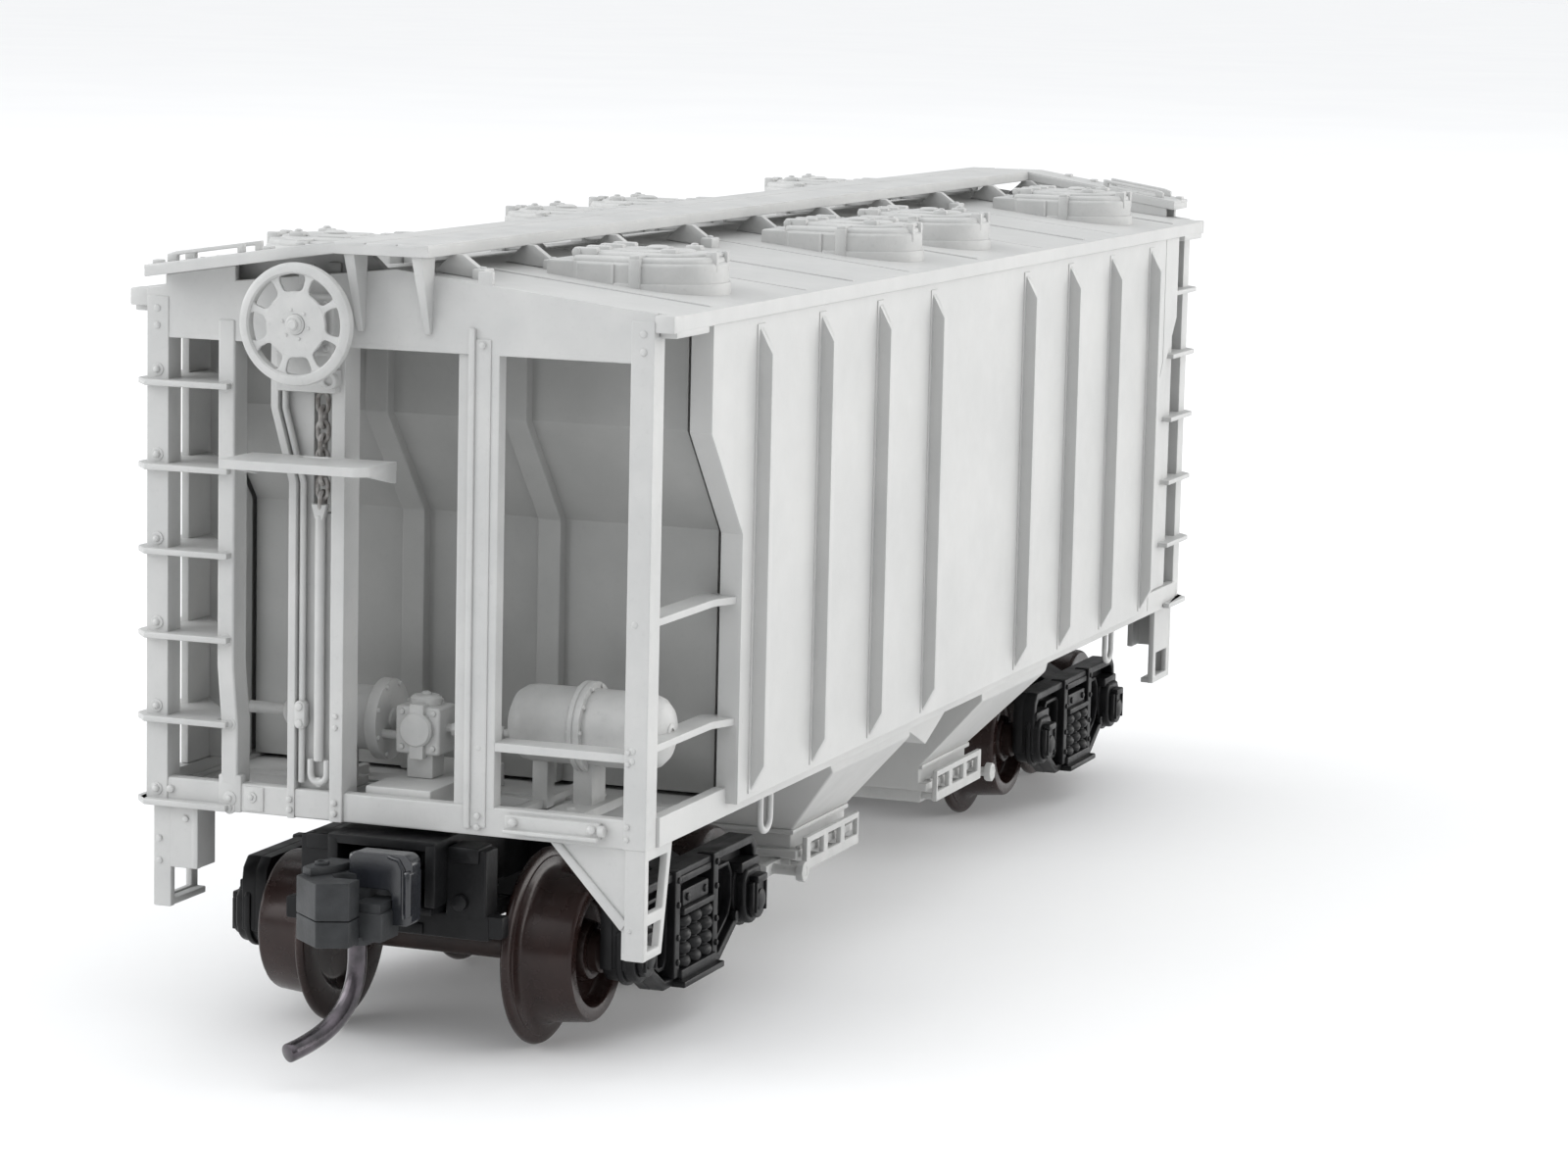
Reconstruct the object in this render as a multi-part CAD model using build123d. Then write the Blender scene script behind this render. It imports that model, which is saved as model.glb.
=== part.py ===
"""An N gauge two-bay covered hopper car, as separate sub-parts in one frame.

+X runs along the car towards the A end, the brake gear is at the B end (-X), Z is up and
z = 0 is the plane that the wheel flanges stand on.  All sizes are in millimetres.
"""
from build123d import *
import math
import os

# ---------------------------------------------------------------- driving dimensions
# Body shell
END_X = 33.4            # outer face of each end frame
POST_Y = 9.52           # outer face of the corner posts
EAVE_Y = 10.2           # outer edge of the roof
SHEET_Y = 10.05         # outer face of the side sheets
SHEET_THICK = 0.45
SILL_Z = 8.13           # underside of the sills
SILL_TOP_Z = 9.17
LINTEL_Z = 24.64        # underside of the end panel
FASCIA_Z = 25.72        # underside of the eave band
EAVE_Z = 26.28          # top of the eave band
ROOF_PITCH = 0.11       # rise of the roof per millimetre of width
ROOF_THICK = 0.45
PANEL_X = 0.3           # thickness of the end panel
CORNER_POST = 0.86      # width of a corner post
POST_DEPTH = 0.93       # depth of a corner post along the car

# Side sheet outline and ribs
SHEET_TOP_X = 29.5      # end of the side sheet above its cranked edge
SHEET_LOW_X = 26.35     # end of the side sheet below its cranked edge
CRANK_TOP_Z = 22.0
CRANK_LOW_Z = 18.2
SHEET_LOW_Z = 8.6
RIB_OUTER_X = 25.12
RIB_PITCH = 6.3
RIB_DEPTH = 0.55
RIB_WIDTH = 0.4
RIB_TAPER = 1.1

# Bulkheads inside the cages
BULKHEAD_SHIFT = 0.65   # how far the bulkhead stands inboard of the sheet's edge
BULKHEAD_THICK = 0.7
STIFFENER_Y = 2.65
STIFFENER_WIDTH = 0.9
STIFFENER_DEPTH = 0.5

# Hopper bays and centre sill
BAY_INNER_X = 4.6
BAY_SLOPE_X = 14.2
BAY_OUTER_X = 10.8
BAY_LOW_Z = 4.5
OUTLET_LOW_Z = 3.5
BAY_TOP_Y = 9.1
BAY_LOW_Y = 6.4
CENTRE_SILL_Y = 1.25

# Running board
BOARD_TOP_Z = 28.33
BOARD_THICK = 0.42
BOARD_HALF = 1.77
BOARD_END_X = 34.6
LATERAL_END_Y = 9.0
LATERAL_DROP = 0.154    # fall of a lateral board per millimetre of width
LATERAL_LENGTH = 2.3    # length of a lateral board along the car
SADDLE_X = (-32.2, -26.25, -18.75, -11.25, -3.75, 3.75, 11.25, 18.75, 26.25, 32.2)

# Hatches
HATCH_X = (25.3, 4.3)
HATCH_RADIUS = 2.4
HATCH_HEIGHT = 1.05
HATCH_INNER_Y = 4.0
HATCH_CENTRE_Y = 6.4

# Running gear
TRUCK_X = 23.7          # truck centre from the middle of the car
HALF_WHEELBASE = 5.4
FLANGE_R = 3.5
TREAD_R = 2.65
WHEEL_BACK_Y = 3.77     # half of the back-to-back distance
WHEEL_FACE_Y = 6.05
AXLE_R = 0.75
AXLE_TIP_Y = 7.1
SIDE_FRAME_Y = 6.5      # inner face of a side frame
SIDE_FRAME_THICK = 1.0
FRAME_TOP_Z = 5.8       # top chord of a side frame
FRAME_CHORD_Z = 5.0     # and its underside
BOLSTER_TOP_Z = 7.98
PIN_R = 0.9
RUNNING_FIT = 0.06

# Coupler
POST_X = 31.1           # coupler pivot post from the middle of the car
COUPLER_SPLIT_Z = 6.3
POCKET_X = 34.15        # mouth of the coupler pocket
POCKET_Y = 2.05
POCKET_WALL = 0.4
POCKET_LOW_Z = 5.3
POCKET_TOP_Z = 7.9
TRIP_PIN_R = 0.33

# Brake gear on the B end
WHEEL_Y = 2.9           # brake wheel centre
WHEEL_Z = 25.5
WHEEL_X = -35.1         # middle of the brake wheel's rim
BRAKE_WHEEL_R = 2.1
CHANNEL_LEFT_Y = 3.96
CHANNEL_RIGHT_Y = 1.82
STEP_Z = 20.85          # top of the brake step

KINK_TOP_Z = 22.45      # the left flange and the pipe lean outwards between these heights
KINK_LOW_Z = 19.9
KINK_SHIFT = 0.71
SLOT_LEFT_Y = 3.2       # slot in the channel's web that the chain hangs in
SLOT_RIGHT_Y = 2.49

# Ladders
RUNG_TOP_Z = 23.2
RUNG_PITCH = 2.96
RUNG_COUNT = 6
RUNG_THICK = 0.28
RUNG_FRONT = 0.42       # how far a rung stands in front of the end frame
RUNG_SIDE = 0.45        # and how far outside the corner post
STILE_IN_Y = 6.08
STILE_OUT_Y = 6.73
STILE_JOG = 0.17        # the stile steps inwards between these heights
JOG_TOP_Z = 13.3
JOG_LOW_Z = 11.2
SIDE_STILE_X = 30.9     # the side ladder's inner stile, from its outer to its inner edge
SIDE_STILE_IN_X = 28.9
SIDE_STILE_Y = 9.2


# ---------------------------------------------------------------- helpers
def block(x0, x1, y0, y1, z0, z1):
    """A rectangular block between two opposite corners."""
    middle = Pos((x0 + x1) / 2, (y0 + y1) / 2, (z0 + z1) / 2)
    return middle * Box(abs(x1 - x0), abs(y1 - y0), abs(z1 - z0))


def prism(corners, step):
    """A solid swept from a flat closed polygon, given in space, along the vector step."""
    face = Face(Wire.make_polygon([Vector(*corner) for corner in corners]))
    return Solid.extrude(face, Vector(*step))


def prism_x(points_yz, x0, x1):
    """A prism along X from (y, z) points."""
    return prism([(x0, y, z) for y, z in points_yz], (x1 - x0, 0, 0))


def prism_y(points_xz, y0, y1):
    """A prism along Y from (x, z) points."""
    return prism([(x, y0, z) for x, z in points_xz], (0, y1 - y0, 0))


def prism_z(points_xy, z0, z1):
    """A prism along Z from (x, y) points."""
    return prism([(x, y, z0) for x, y in points_xy], (0, 0, z1 - z0))


def rod(start, end, radius):
    """A round rod between two points."""
    axis = Vector(*end) - Vector(*start)
    return Solid.make_cylinder(radius, axis.length, Plane(origin=start, z_dir=axis))


def cone(start, end, radius_start, radius_end):
    """A cone between two points."""
    axis = Vector(*end) - Vector(*start)
    return Solid.make_cone(radius_start, radius_end, axis.length, Plane(origin=start, z_dir=axis))


def joined(pieces):
    """One solid from pieces that overlap or share faces."""
    whole = pieces[0]
    for piece in pieces[1:]:
        whole = whole + piece
    return whole


def group(pieces):
    """Separate solids kept in one sub-part."""
    solids = []
    for piece in pieces:
        solids.extend(piece.solids())
    return Compound(children=solids)


def turned(shape):
    """The same shape at the other end of the car."""
    return Rot(0, 0, 180) * shape


def flipped(shape):
    """The same shape mirrored to the other side of the car."""
    return mirror(shape, about=Plane.XZ)


def roof_z(y):
    """Height of the roof's upper face at a distance y from the centre line."""
    return EAVE_Z + ROOF_PITCH * (EAVE_Y - abs(y))


def lateral_z(y):
    """Height of a lateral board's upper face."""
    return BOARD_TOP_Z - LATERAL_DROP * (abs(y) - BOARD_HALF)


# ---------------------------------------------------------------- roof
def roof():
    """The shallow gable roof with an eave band along each side."""
    under = -ROOF_THICK
    outline = [(-EAVE_Y, EAVE_Z), (0, roof_z(0)), (EAVE_Y, EAVE_Z), (EAVE_Y, FASCIA_Z)]
    outline += [(SHEET_Y - SHEET_THICK, FASCIA_Z), (SHEET_Y - SHEET_THICK, roof_z(SHEET_Y) + under)]
    outline += [(0, roof_z(0) + under)]
    outline += [(SHEET_THICK - SHEET_Y, roof_z(SHEET_Y) + under), (SHEET_THICK - SHEET_Y, FASCIA_Z)]
    outline += [(-EAVE_Y, FASCIA_Z)]
    inner_x = END_X - PANEL_X
    slab = prism_x(outline, -inner_x, inner_x)
    seams = []
    for x in (-29.2, -14.8, 0.0, 14.8, 29.2):
        ridge = [(-EAVE_Y, EAVE_Z), (0, roof_z(0)), (EAVE_Y, EAVE_Z)]
        raised = [(y, z + 0.08) for y, z in reversed(ridge)]
        lowered = [(y, z - 0.1) for y, z in ridge]
        seams.append(prism_x(lowered + raised, x - 0.12, x + 0.12))
    return joined([slab] + seams)


# ---------------------------------------------------------------- sides
def side_sheet():
    """The right side (-Y): a sheet with cranked ends, its sill, ribs and cage sills."""
    outline = [(-SHEET_TOP_X, FASCIA_Z), (-SHEET_TOP_X, CRANK_TOP_Z), (-SHEET_LOW_X, CRANK_LOW_Z)]
    outline += [(-SHEET_LOW_X, SHEET_LOW_Z), (SHEET_LOW_X, SHEET_LOW_Z), (SHEET_LOW_X, CRANK_LOW_Z)]
    outline += [(SHEET_TOP_X, CRANK_TOP_Z), (SHEET_TOP_X, FASCIA_Z)]
    pieces = [prism_y(outline, -SHEET_Y, SHEET_THICK - SHEET_Y)]
    root = 0.05 - SHEET_Y
    face = -SHEET_Y - RIB_DEPTH
    for end in (-1, 1):
        for k in range(4):
            x = end * (RIB_OUTER_X - k * RIB_PITCH)
            rib = [(x, root, SHEET_LOW_Z + 0.1), (x, face, SHEET_LOW_Z + 0.1 + RIB_TAPER)]
            rib += [(x, face, FASCIA_Z - 0.2 - RIB_TAPER), (x, root, FASCIA_Z - 0.2)]
            pieces.append(prism(rib, (RIB_WIDTH * -end, 0, 0)))
    sill_end = END_X - POST_DEPTH
    sill_out = -POST_Y - 0.12
    sill_in = SHEET_THICK - SHEET_Y + 0.5
    pieces.append(block(-sill_end, sill_end, sill_out, sill_in, SILL_Z, SHEET_LOW_Z + 0.15))
    for end in (-1, 1):
        inner = end * (SHEET_LOW_X - 0.1)
        pieces.append(block(end * sill_end, inner, sill_out, -POST_Y + 0.35, SILL_Z, SILL_TOP_Z))
    return joined(pieces)


# ---------------------------------------------------------------- end frames
def end_frame(brake_end):
    """An end frame in its B end place, with the post arrangement of either end."""
    x = -END_X
    pieces = []
    for side in (-1, 1):
        outer = side * POST_Y
        inner = side * (POST_Y - CORNER_POST)
        pieces.append(block(x, x + POST_DEPTH, inner, outer, SILL_Z, LINTEL_Z + 0.5))
    panel = [(-POST_Y, LINTEL_Z), (-POST_Y, roof_z(POST_Y)), (0, roof_z(0))]
    panel += [(STILE_IN_Y, roof_z(STILE_IN_Y)), (STILE_IN_Y, lateral_z(STILE_IN_Y) - BOARD_THICK)]
    panel += [(8.8, lateral_z(8.8) - BOARD_THICK), (8.8, roof_z(8.8))]
    panel += [(POST_Y, roof_z(POST_Y)), (POST_Y, LINTEL_Z)]
    pieces.append(prism_x(panel, x, x + PANEL_X))
    pieces.append(block(x, x + 0.5, -POST_Y, POST_Y, SILL_Z, SILL_TOP_Z))
    # ladder stile
    foot_z = SILL_TOP_Z - 0.1
    head_z = LINTEL_Z + 0.1
    stile = []
    for y in (STILE_IN_Y, STILE_OUT_Y):
        edge = [(y - STILE_JOG, foot_z), (y - STILE_JOG, JOG_LOW_Z), (y, JOG_TOP_Z), (y, head_z)]
        stile += edge if not stile else reversed(edge)
    pieces.append(prism_x(stile, x, x + 0.95))
    # plain centre post: a web with a proud edge
    pieces.append(block(x, x + 0.6, -3.89, -2.75, SILL_TOP_Z - 0.1, LINTEL_Z + 0.1))
    pieces.append(block(x + 0.15, x + 0.8, -2.8, -2.29, SILL_TOP_Z - 0.1, LINTEL_Z + 0.1))
    pieces.append(block(x - 0.15, x + 0.3, -3.02, -2.78, SILL_Z + 0.25, LINTEL_Z + 0.9))
    if brake_end:
        outer = [(CHANNEL_LEFT_Y, SILL_Z), (CHANNEL_LEFT_Y, KINK_LOW_Z)]
        outer += [(CHANNEL_LEFT_Y + KINK_SHIFT, KINK_TOP_Z), (CHANNEL_LEFT_Y + KINK_SHIFT, head_z)]
        inner = [(y - 0.3, z) for y, z in reversed(outer)]
        web = prism_x(outer + [(CHANNEL_RIGHT_Y, head_z), (CHANNEL_RIGHT_Y, SILL_Z)], x + 0.35, x + 0.8)
        pieces.append(web - block(x, x + 1, SLOT_RIGHT_Y, SLOT_LEFT_Y, 18.85, 23.2))
        pieces.append(prism_x(outer + inner, x - 0.1, x + 0.8))
        pieces.append(block(x - 0.1, x + 1.1, CHANNEL_RIGHT_Y, CHANNEL_RIGHT_Y + 0.52, SILL_Z, head_z))
    else:
        pieces.append(block(x, x + 0.6, 2.75, 3.89, SILL_TOP_Z - 0.1, LINTEL_Z + 0.1))
        pieces.append(block(x + 0.15, x + 0.8, 2.29, 2.8, SILL_TOP_Z - 0.1, LINTEL_Z + 0.1))
    return joined(pieces)


# ---------------------------------------------------------------- bulkheads
def bulkhead():
    """The B end bulkhead: a cranked sheet with two stiffeners, between the side sheets."""
    top = -(SHEET_TOP_X - BULKHEAD_SHIFT)
    low = -(SHEET_LOW_X - BULKHEAD_SHIFT)
    ceiling = roof_z(SHEET_Y) - ROOF_THICK - 0.1
    floor = SHEET_LOW_Z + 0.15
    outer = [(top, ceiling), (top, CRANK_TOP_Z), (low, CRANK_LOW_Z), (low, floor)]
    inner = [(px + BULKHEAD_THICK, pz) for px, pz in reversed(outer)]
    half = SHEET_Y - SHEET_THICK - 0.04
    sheet = prism_y(outer + inner, -half, half)
    proud = [(px - STIFFENER_DEPTH, pz) for px, pz in outer]
    back = [(px + 0.1, pz) for px, pz in reversed(outer)]
    pieces = [sheet]
    for y in (-STIFFENER_Y, STIFFENER_Y):
        pieces.append(prism_y(proud + back, y - STIFFENER_WIDTH / 2, y + STIFFENER_WIDTH / 2))
    return joined(pieces)


# ---------------------------------------------------------------- underframe and bays


def underframe():
    """The floor plate with open cage floors, the centre sill and the pin sockets."""
    half = POST_Y - 0.45
    end = END_X - 0.52
    plate = block(-end, end, -half, half, SILL_Z + 0.02, SHEET_LOW_Z)
    for x_side in (-1, 1):
        for y_side in (-1, 1):
            opening = block(x_side * 32.2, x_side * 28.6, y_side * 1.7, y_side * 3.2, 8, 9)
            plate = plate - opening
            opening = block(x_side * 31.6, x_side * 28.2, y_side * 4.6, y_side * 8.6, 8, 9)
            plate = plate - opening
    corner_x = END_X - POST_DEPTH - 0.02
    corner_y = POST_Y - CORNER_POST - 0.02
    for x_side in (-1, 1):
        for y_side in (-1, 1):
            notch = block(x_side * corner_x, x_side * END_X, y_side * corner_y, y_side * POST_Y, 8, 9)
            plate = plate - notch
    plate = plate - block(-END_X, 1.12 - END_X, CHANNEL_RIGHT_Y - 0.02, CHANNEL_LEFT_Y + 0.02, 8, 9)
    pieces = [plate]
    pieces.append(block(-end, -26.6, -CENTRE_SILL_Y, CENTRE_SILL_Y, SHEET_LOW_Z - 0.1, SILL_TOP_Z + 0.25))
    pieces.append(block(26.6, end, -CENTRE_SILL_Y, CENTRE_SILL_Y, SHEET_LOW_Z - 0.1, SILL_TOP_Z + 0.25))
    for x in (-TRUCK_X, TRUCK_X):
        boss = Pos(x, 0, 0) * Cylinder(1.25, 1.5, align=(Align.CENTER, Align.CENTER, Align.MIN))
        pieces.append(Pos(0, 0, SHEET_LOW_Z - 0.1) * boss)
    sill = block(-BAY_INNER_X + 0.02, BAY_INNER_X - 0.02, -CENTRE_SILL_Y, CENTRE_SILL_Y, 5.6, SILL_Z + 0.1)
    pieces.append(sill)
    ridge = [(-BAY_INNER_X + 0.02, SILL_Z + 0.1), (0, 6.4), (BAY_INNER_X - 0.02, SILL_Z + 0.1)]
    pieces.append(prism_y(ridge, -8.2, 8.2))
    whole = joined(pieces)
    for x in (-TRUCK_X, TRUCK_X):
        whole = whole - rod((x, 0, SILL_Z - 0.5), (x, 0, SHEET_LOW_Z + 1.0), PIN_R)
    return whole


def hopper_bay():
    """The A end bay: a hollow funnel that narrows to its outlet."""
    top = SILL_Z
    outline = [(BAY_INNER_X, top), (BAY_INNER_X, OUTLET_LOW_Z), (BAY_OUTER_X, OUTLET_LOW_Z)]
    outline += [(BAY_OUTER_X, BAY_LOW_Z), (BAY_SLOPE_X, top)]
    along = prism_y(outline, -BAY_TOP_Y, BAY_TOP_Y)
    across = [(-BAY_TOP_Y, top), (-BAY_TOP_Y, top - 0.6), (-BAY_LOW_Y, BAY_LOW_Z)]
    across += [(-BAY_LOW_Y, OUTLET_LOW_Z), (BAY_LOW_Y, OUTLET_LOW_Z), (BAY_LOW_Y, BAY_LOW_Z)]
    across += [(BAY_TOP_Y, top - 0.6), (BAY_TOP_Y, top)]
    bay = along & prism_x(across, BAY_INNER_X - 1, BAY_SLOPE_X + 1)
    collar = block(BAY_INNER_X + 0.01, BAY_OUTER_X + 0.35, -BAY_LOW_Y - 0.35, BAY_LOW_Y + 0.35,
                   OUTLET_LOW_Z, OUTLET_LOW_Z + 0.35)
    return bay + collar


def outlet_gate():
    """The A end outlet gate: a pan with a rack lug at each corner and an operating shaft."""
    low = OUTLET_LOW_Z - 0.55
    pan = block(BAY_INNER_X + 0.3, BAY_OUTER_X + 0.1, -BAY_LOW_Y, BAY_LOW_Y, low, OUTLET_LOW_Z)
    pieces = [pan]
    for y in (-5.9, -4.3, 4.3, 5.9):
        lug = block(BAY_OUTER_X, BAY_OUTER_X + 1.8, y - 0.16, y + 0.16, low, low + 0.5)
        pieces.append(lug)
    pieces.append(block(BAY_OUTER_X + 1.45, BAY_OUTER_X + 1.8, -6.1, 6.1, low, low + 0.5))
    shaft_x = BAY_OUTER_X + 0.95
    pieces.append(rod((shaft_x, -7.4, low + 0.25), (shaft_x, 7.4, low + 0.25), 0.2))
    for y in (-7.4, 7.1):
        pieces.append(rod((shaft_x, y, low + 0.25), (shaft_x, y + 0.3, low + 0.25), 0.42))
    return joined(pieces)


def steel_weight():
    """The steel weight lying on the floor plate inside the body."""
    return block(-18.5, 18.5, -8.4, 8.4, SHEET_LOW_Z + 0.15 + 0.05, 10.9)


# ---------------------------------------------------------------- running board and roof gear
def running_board():
    """The long board on the ridge with one lateral board at each end, on opposite sides."""
    low = BOARD_TOP_Z - BOARD_THICK
    pieces = [block(-BOARD_END_X, BOARD_END_X, -BOARD_HALF, BOARD_HALF, low, BOARD_TOP_Z)]
    inner = BOARD_HALF
    outline = [(inner, lateral_z(inner)), (LATERAL_END_Y, lateral_z(LATERAL_END_Y))]
    outline += [(LATERAL_END_Y, lateral_z(LATERAL_END_Y) - BOARD_THICK)]
    outline += [(inner, lateral_z(inner) - BOARD_THICK)]
    lateral = prism_x(outline, -BOARD_END_X, LATERAL_LENGTH - BOARD_END_X)
    pieces += [lateral, turned(lateral)]
    return joined(pieces)


def board_supports():
    """Saddles across the ridge and two tapered brackets under each end of the board."""
    low = BOARD_TOP_Z - BOARD_THICK
    pieces = []
    for x in SADDLE_X:
        saddle = [(-2.9, roof_z(2.9) + 0.02), (-2.9, roof_z(2.9) + 0.3), (-1.7, low), (1.7, low)]
        saddle += [(2.9, roof_z(2.9) + 0.3), (2.9, roof_z(2.9) + 0.02), (0, roof_z(0) + 0.02)]
        pieces.append(prism_x(saddle, x - 0.2, x + 0.2))
    for end in (-1, 1):
        for y in (-1.25, 1.25):
            plate = [(end * (END_X + 0.02), low), (end * (BOARD_END_X - 0.15), low)]
            plate += [(end * (END_X + 0.02), LINTEL_Z + 0.55)]
            pieces.append(prism_y(plate, y - 0.14, y + 0.14))
    return group(pieces)


def hatch(x, side):
    """One hatch: a round-ended drum with a low domed lid and its inner hinge box."""
    outer = []
    for k in range(13):
        angle = math.pi + math.pi * k / 12
        outer.append((x + HATCH_RADIUS * math.cos(angle), -HATCH_CENTRE_Y + HATCH_RADIUS * math.sin(angle)))
    plan = [(x - HATCH_RADIUS, -HATCH_INNER_Y)] + outer + [(x + HATCH_RADIUS, -HATCH_INNER_Y)]
    drum = prism_z(plan, EAVE_Z - 1, roof_z(HATCH_CENTRE_Y) + HATCH_HEIGHT)
    lid_plan = []
    for px, py in plan:
        lid_plan.append((x + (px - x) * 0.86, -5.8 + (py + 5.8) * 0.88))
    lid_low = roof_z(HATCH_CENTRE_Y) + HATCH_HEIGHT - 0.1
    lid = prism_z(lid_plan, lid_low, lid_low + 0.28)
    hinge_box = block(x - 2.2, x + 2.2, -HATCH_INNER_Y - 0.1, -2.95, EAVE_Z - 1, roof_z(3.0) + 0.42)
    strap = block(x - HATCH_RADIUS - 0.14, x - HATCH_RADIUS + 0.2, -6.6, -6.2, EAVE_Z - 1, lid_low + 0.1)
    far_strap = block(x + HATCH_RADIUS - 0.2, x + HATCH_RADIUS + 0.14, -6.6, -6.2, EAVE_Z - 1, lid_low + 0.1)
    whole = joined([drum, lid, hinge_box, strap, far_strap])
    for dx, y in ((-0.7, -4.4), (0.7, -4.4), (-0.55, -7.9), (0.55, -7.9)):
        knob = rod((x + dx, y, lid_low), (x + dx, y, lid_low + 0.5), 0.24)
        whole = whole + knob
    above_roof = [(-0.5, roof_z(0.5) + 0.01), (-EAVE_Y, EAVE_Z + 0.01), (-EAVE_Y, 30), (-0.5, 30)]
    whole = whole & prism_x(above_roof, x - 4, x + 4)
    if side > 0:
        return flipped(whole)
    return whole


def hatches(side):
    """The four hatches of one side."""
    places = [x for pair in ((-d, d) for d in HATCH_X) for x in pair]
    return group([hatch(x, side) for x in places])


# ---------------------------------------------------------------- ladders, grabs and steps
def corner_ladder():
    """The ladder at the B end's +Y corner: six rung plates that wrap round the corner post.

    Each plate tapers from the end frame to the side ladder's angle-shaped inner stile.
    """
    face = -END_X - 0.01
    front = -END_X - RUNG_FRONT
    outer = POST_Y + RUNG_SIDE
    post = block(face, -END_X + POST_DEPTH + 0.01, POST_Y - CORNER_POST - 0.01, POST_Y + 0.01, 0, 30)
    foot_z, head_z = SILL_TOP_Z + 0.02, FASCIA_Z - 0.02
    pieces = [block(-SIDE_STILE_X, -SIDE_STILE_IN_X, SIDE_STILE_Y, POST_Y - 0.01, foot_z, head_z)]
    flange_x = -SIDE_STILE_IN_X - 0.4
    pieces.append(block(flange_x, -SIDE_STILE_IN_X, 8.6, SIDE_STILE_Y + 0.05, foot_z, head_z))
    nose = [(front, STILE_IN_Y + 0.1), (front, POST_Y - 0.1), (-END_X + 0.2, outer)]
    plan = nose + [(-SHEET_TOP_X - 0.1, outer), (-SHEET_TOP_X - 0.1, POST_Y - 0.05)]
    plan += [(flange_x, POST_Y - 0.05), (flange_x, SIDE_STILE_Y)]
    plan += [(-END_X + 0.96, STILE_OUT_Y + 0.02), (face, STILE_OUT_Y + 0.02), (face, STILE_IN_Y + 0.1)]
    for k in range(RUNG_COUNT - 1):
        z = RUNG_TOP_Z - k * RUNG_PITCH
        pieces.append(prism_z(plan, z - RUNG_THICK, z) - post)
    post_out = POST_Y + 0.13
    lowest = nose + [(-30.35, outer), (-30.35, post_out), (face, post_out), (face, STILE_IN_Y + 0.1)]
    low_z = RUNG_TOP_Z - (RUNG_COUNT - 1) * RUNG_PITCH
    low_rung = prism_z(lowest, low_z - RUNG_THICK, low_z)
    feet = []
    for k in range(RUNG_COUNT):
        z = RUNG_TOP_Z - k * RUNG_PITCH
        for y0, y1 in ((POST_Y - 0.7, POST_Y - 0.1), (STILE_IN_Y + 0.1, STILE_OUT_Y)):
            feet.append(block(face - 0.13, face, y0, y1, z - 0.45, z + 0.3))
    ladder = joined(pieces + feet[:-2])
    return [ladder, joined([low_rung] + feet[-2:])]


def grab_irons():
    """Two side grabs and an end grab at each corner that has no ladder."""
    grabs = []
    for z in (16.0, 11.8):
        path = [(-END_X + 0.35, -POST_Y - 0.01), (-END_X + 0.35, -POST_Y - 0.31)]
        path += [(-26.2, -SHEET_Y - 0.32), (-26.2, -SHEET_Y - 0.01)]
        path += [(-26.0, -SHEET_Y - 0.01), (-26.0, -SHEET_Y - 0.52)]
        path += [(-END_X + 0.1, -POST_Y - 0.5), (-END_X + 0.1, -POST_Y - 0.01)]
        grabs.append(prism_z(path, z - 0.3, z))
    x = -END_X
    bar = block(x - 0.55, x - 0.2, -8.95, -3.5, 11.15, 11.45)
    near = block(x - 0.3, x - 0.01, -8.95, -8.7, 11.15, 11.45)
    far = block(x - 0.3, x - 0.01, -3.75, -3.5, 11.15, 11.45)
    grabs.append(joined([bar, near, far]))
    return group(grabs + [turned(grab) for grab in grabs])


def stirrup_steps():
    """A gusseted step and a plate step at each end, on opposite corners."""
    x = -END_X
    top = SILL_Z - 0.01
    gusset = [(-5.95, top), (-9.5, top), (-9.5, 4.3), (-8.6, 4.3), (-8.6, 5.3)]
    plate = prism_x(gusset, x, x + 0.3)
    hole = [(-6.9, top - 0.35), (-9.1, top - 0.35), (-8.7, 5.9)]
    side = block(x, x + 2.5, -9.5, -9.2, 4.3, top)
    upper = prism_y([(x + 0.35, 7.75), (x + 2.3, 7.75), (x + 1.75, 5.85), (x + 0.35, 5.85)], -9.6, -9.1)
    lower = prism_y([(x + 0.35, 5.5), (x + 1.7, 5.5), (x + 1.3, 4.6), (x + 0.35, 4.6)], -9.6, -9.1)
    trim = prism_y([(x + 2.55, top + 1), (x + 2.55, top - 0.1), (x + 1.6, 4.2), (x + 3, 4.2)], -9.6, -9.1)
    thin = block(x + 0.3, x + 0.5, -8.2, -9.1, 4.3, 4.6)
    right = joined([plate, side - upper - lower - trim, thin]) - prism_x(hole, x - 0.1, x + 0.12)
    left_side = block(x + 0.02, x + 2.8, 8.95, 9.22, 4.5, top)
    window = block(x + 0.5, x + 2.35, 8.9, 9.3, 4.8, 5.9)
    left_end = block(x + 0.02, x + 0.32, 8.52, 9.22, 4.5, top)
    ledge = block(x + 0.02, x + 0.32, 7.48, 9.22, 5.94, top)
    flange = block(x + 0.02, x + 1.35, 7.48, 7.75, 5.94, top)
    left = joined([left_side - window, left_end, ledge, flange])
    return group([right, left, turned(right), turned(left)])


def uncoupling_bars():
    """The lever bracket bar on the face of each end sill."""
    x = -END_X
    bar = block(x - 0.35, x - 0.01, -7.9, -4.4, 8.45, 9.05)
    lip = block(x - 0.5, x - 0.3, -7.9, -4.4, 8.45, 8.62)
    lever = rod((x - 0.2, -8.1, 8.75), (x - 0.2, -7.8, 8.75), 0.2)
    piece = joined([bar, lip, lever])
    return group([piece, turned(piece)])


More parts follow.
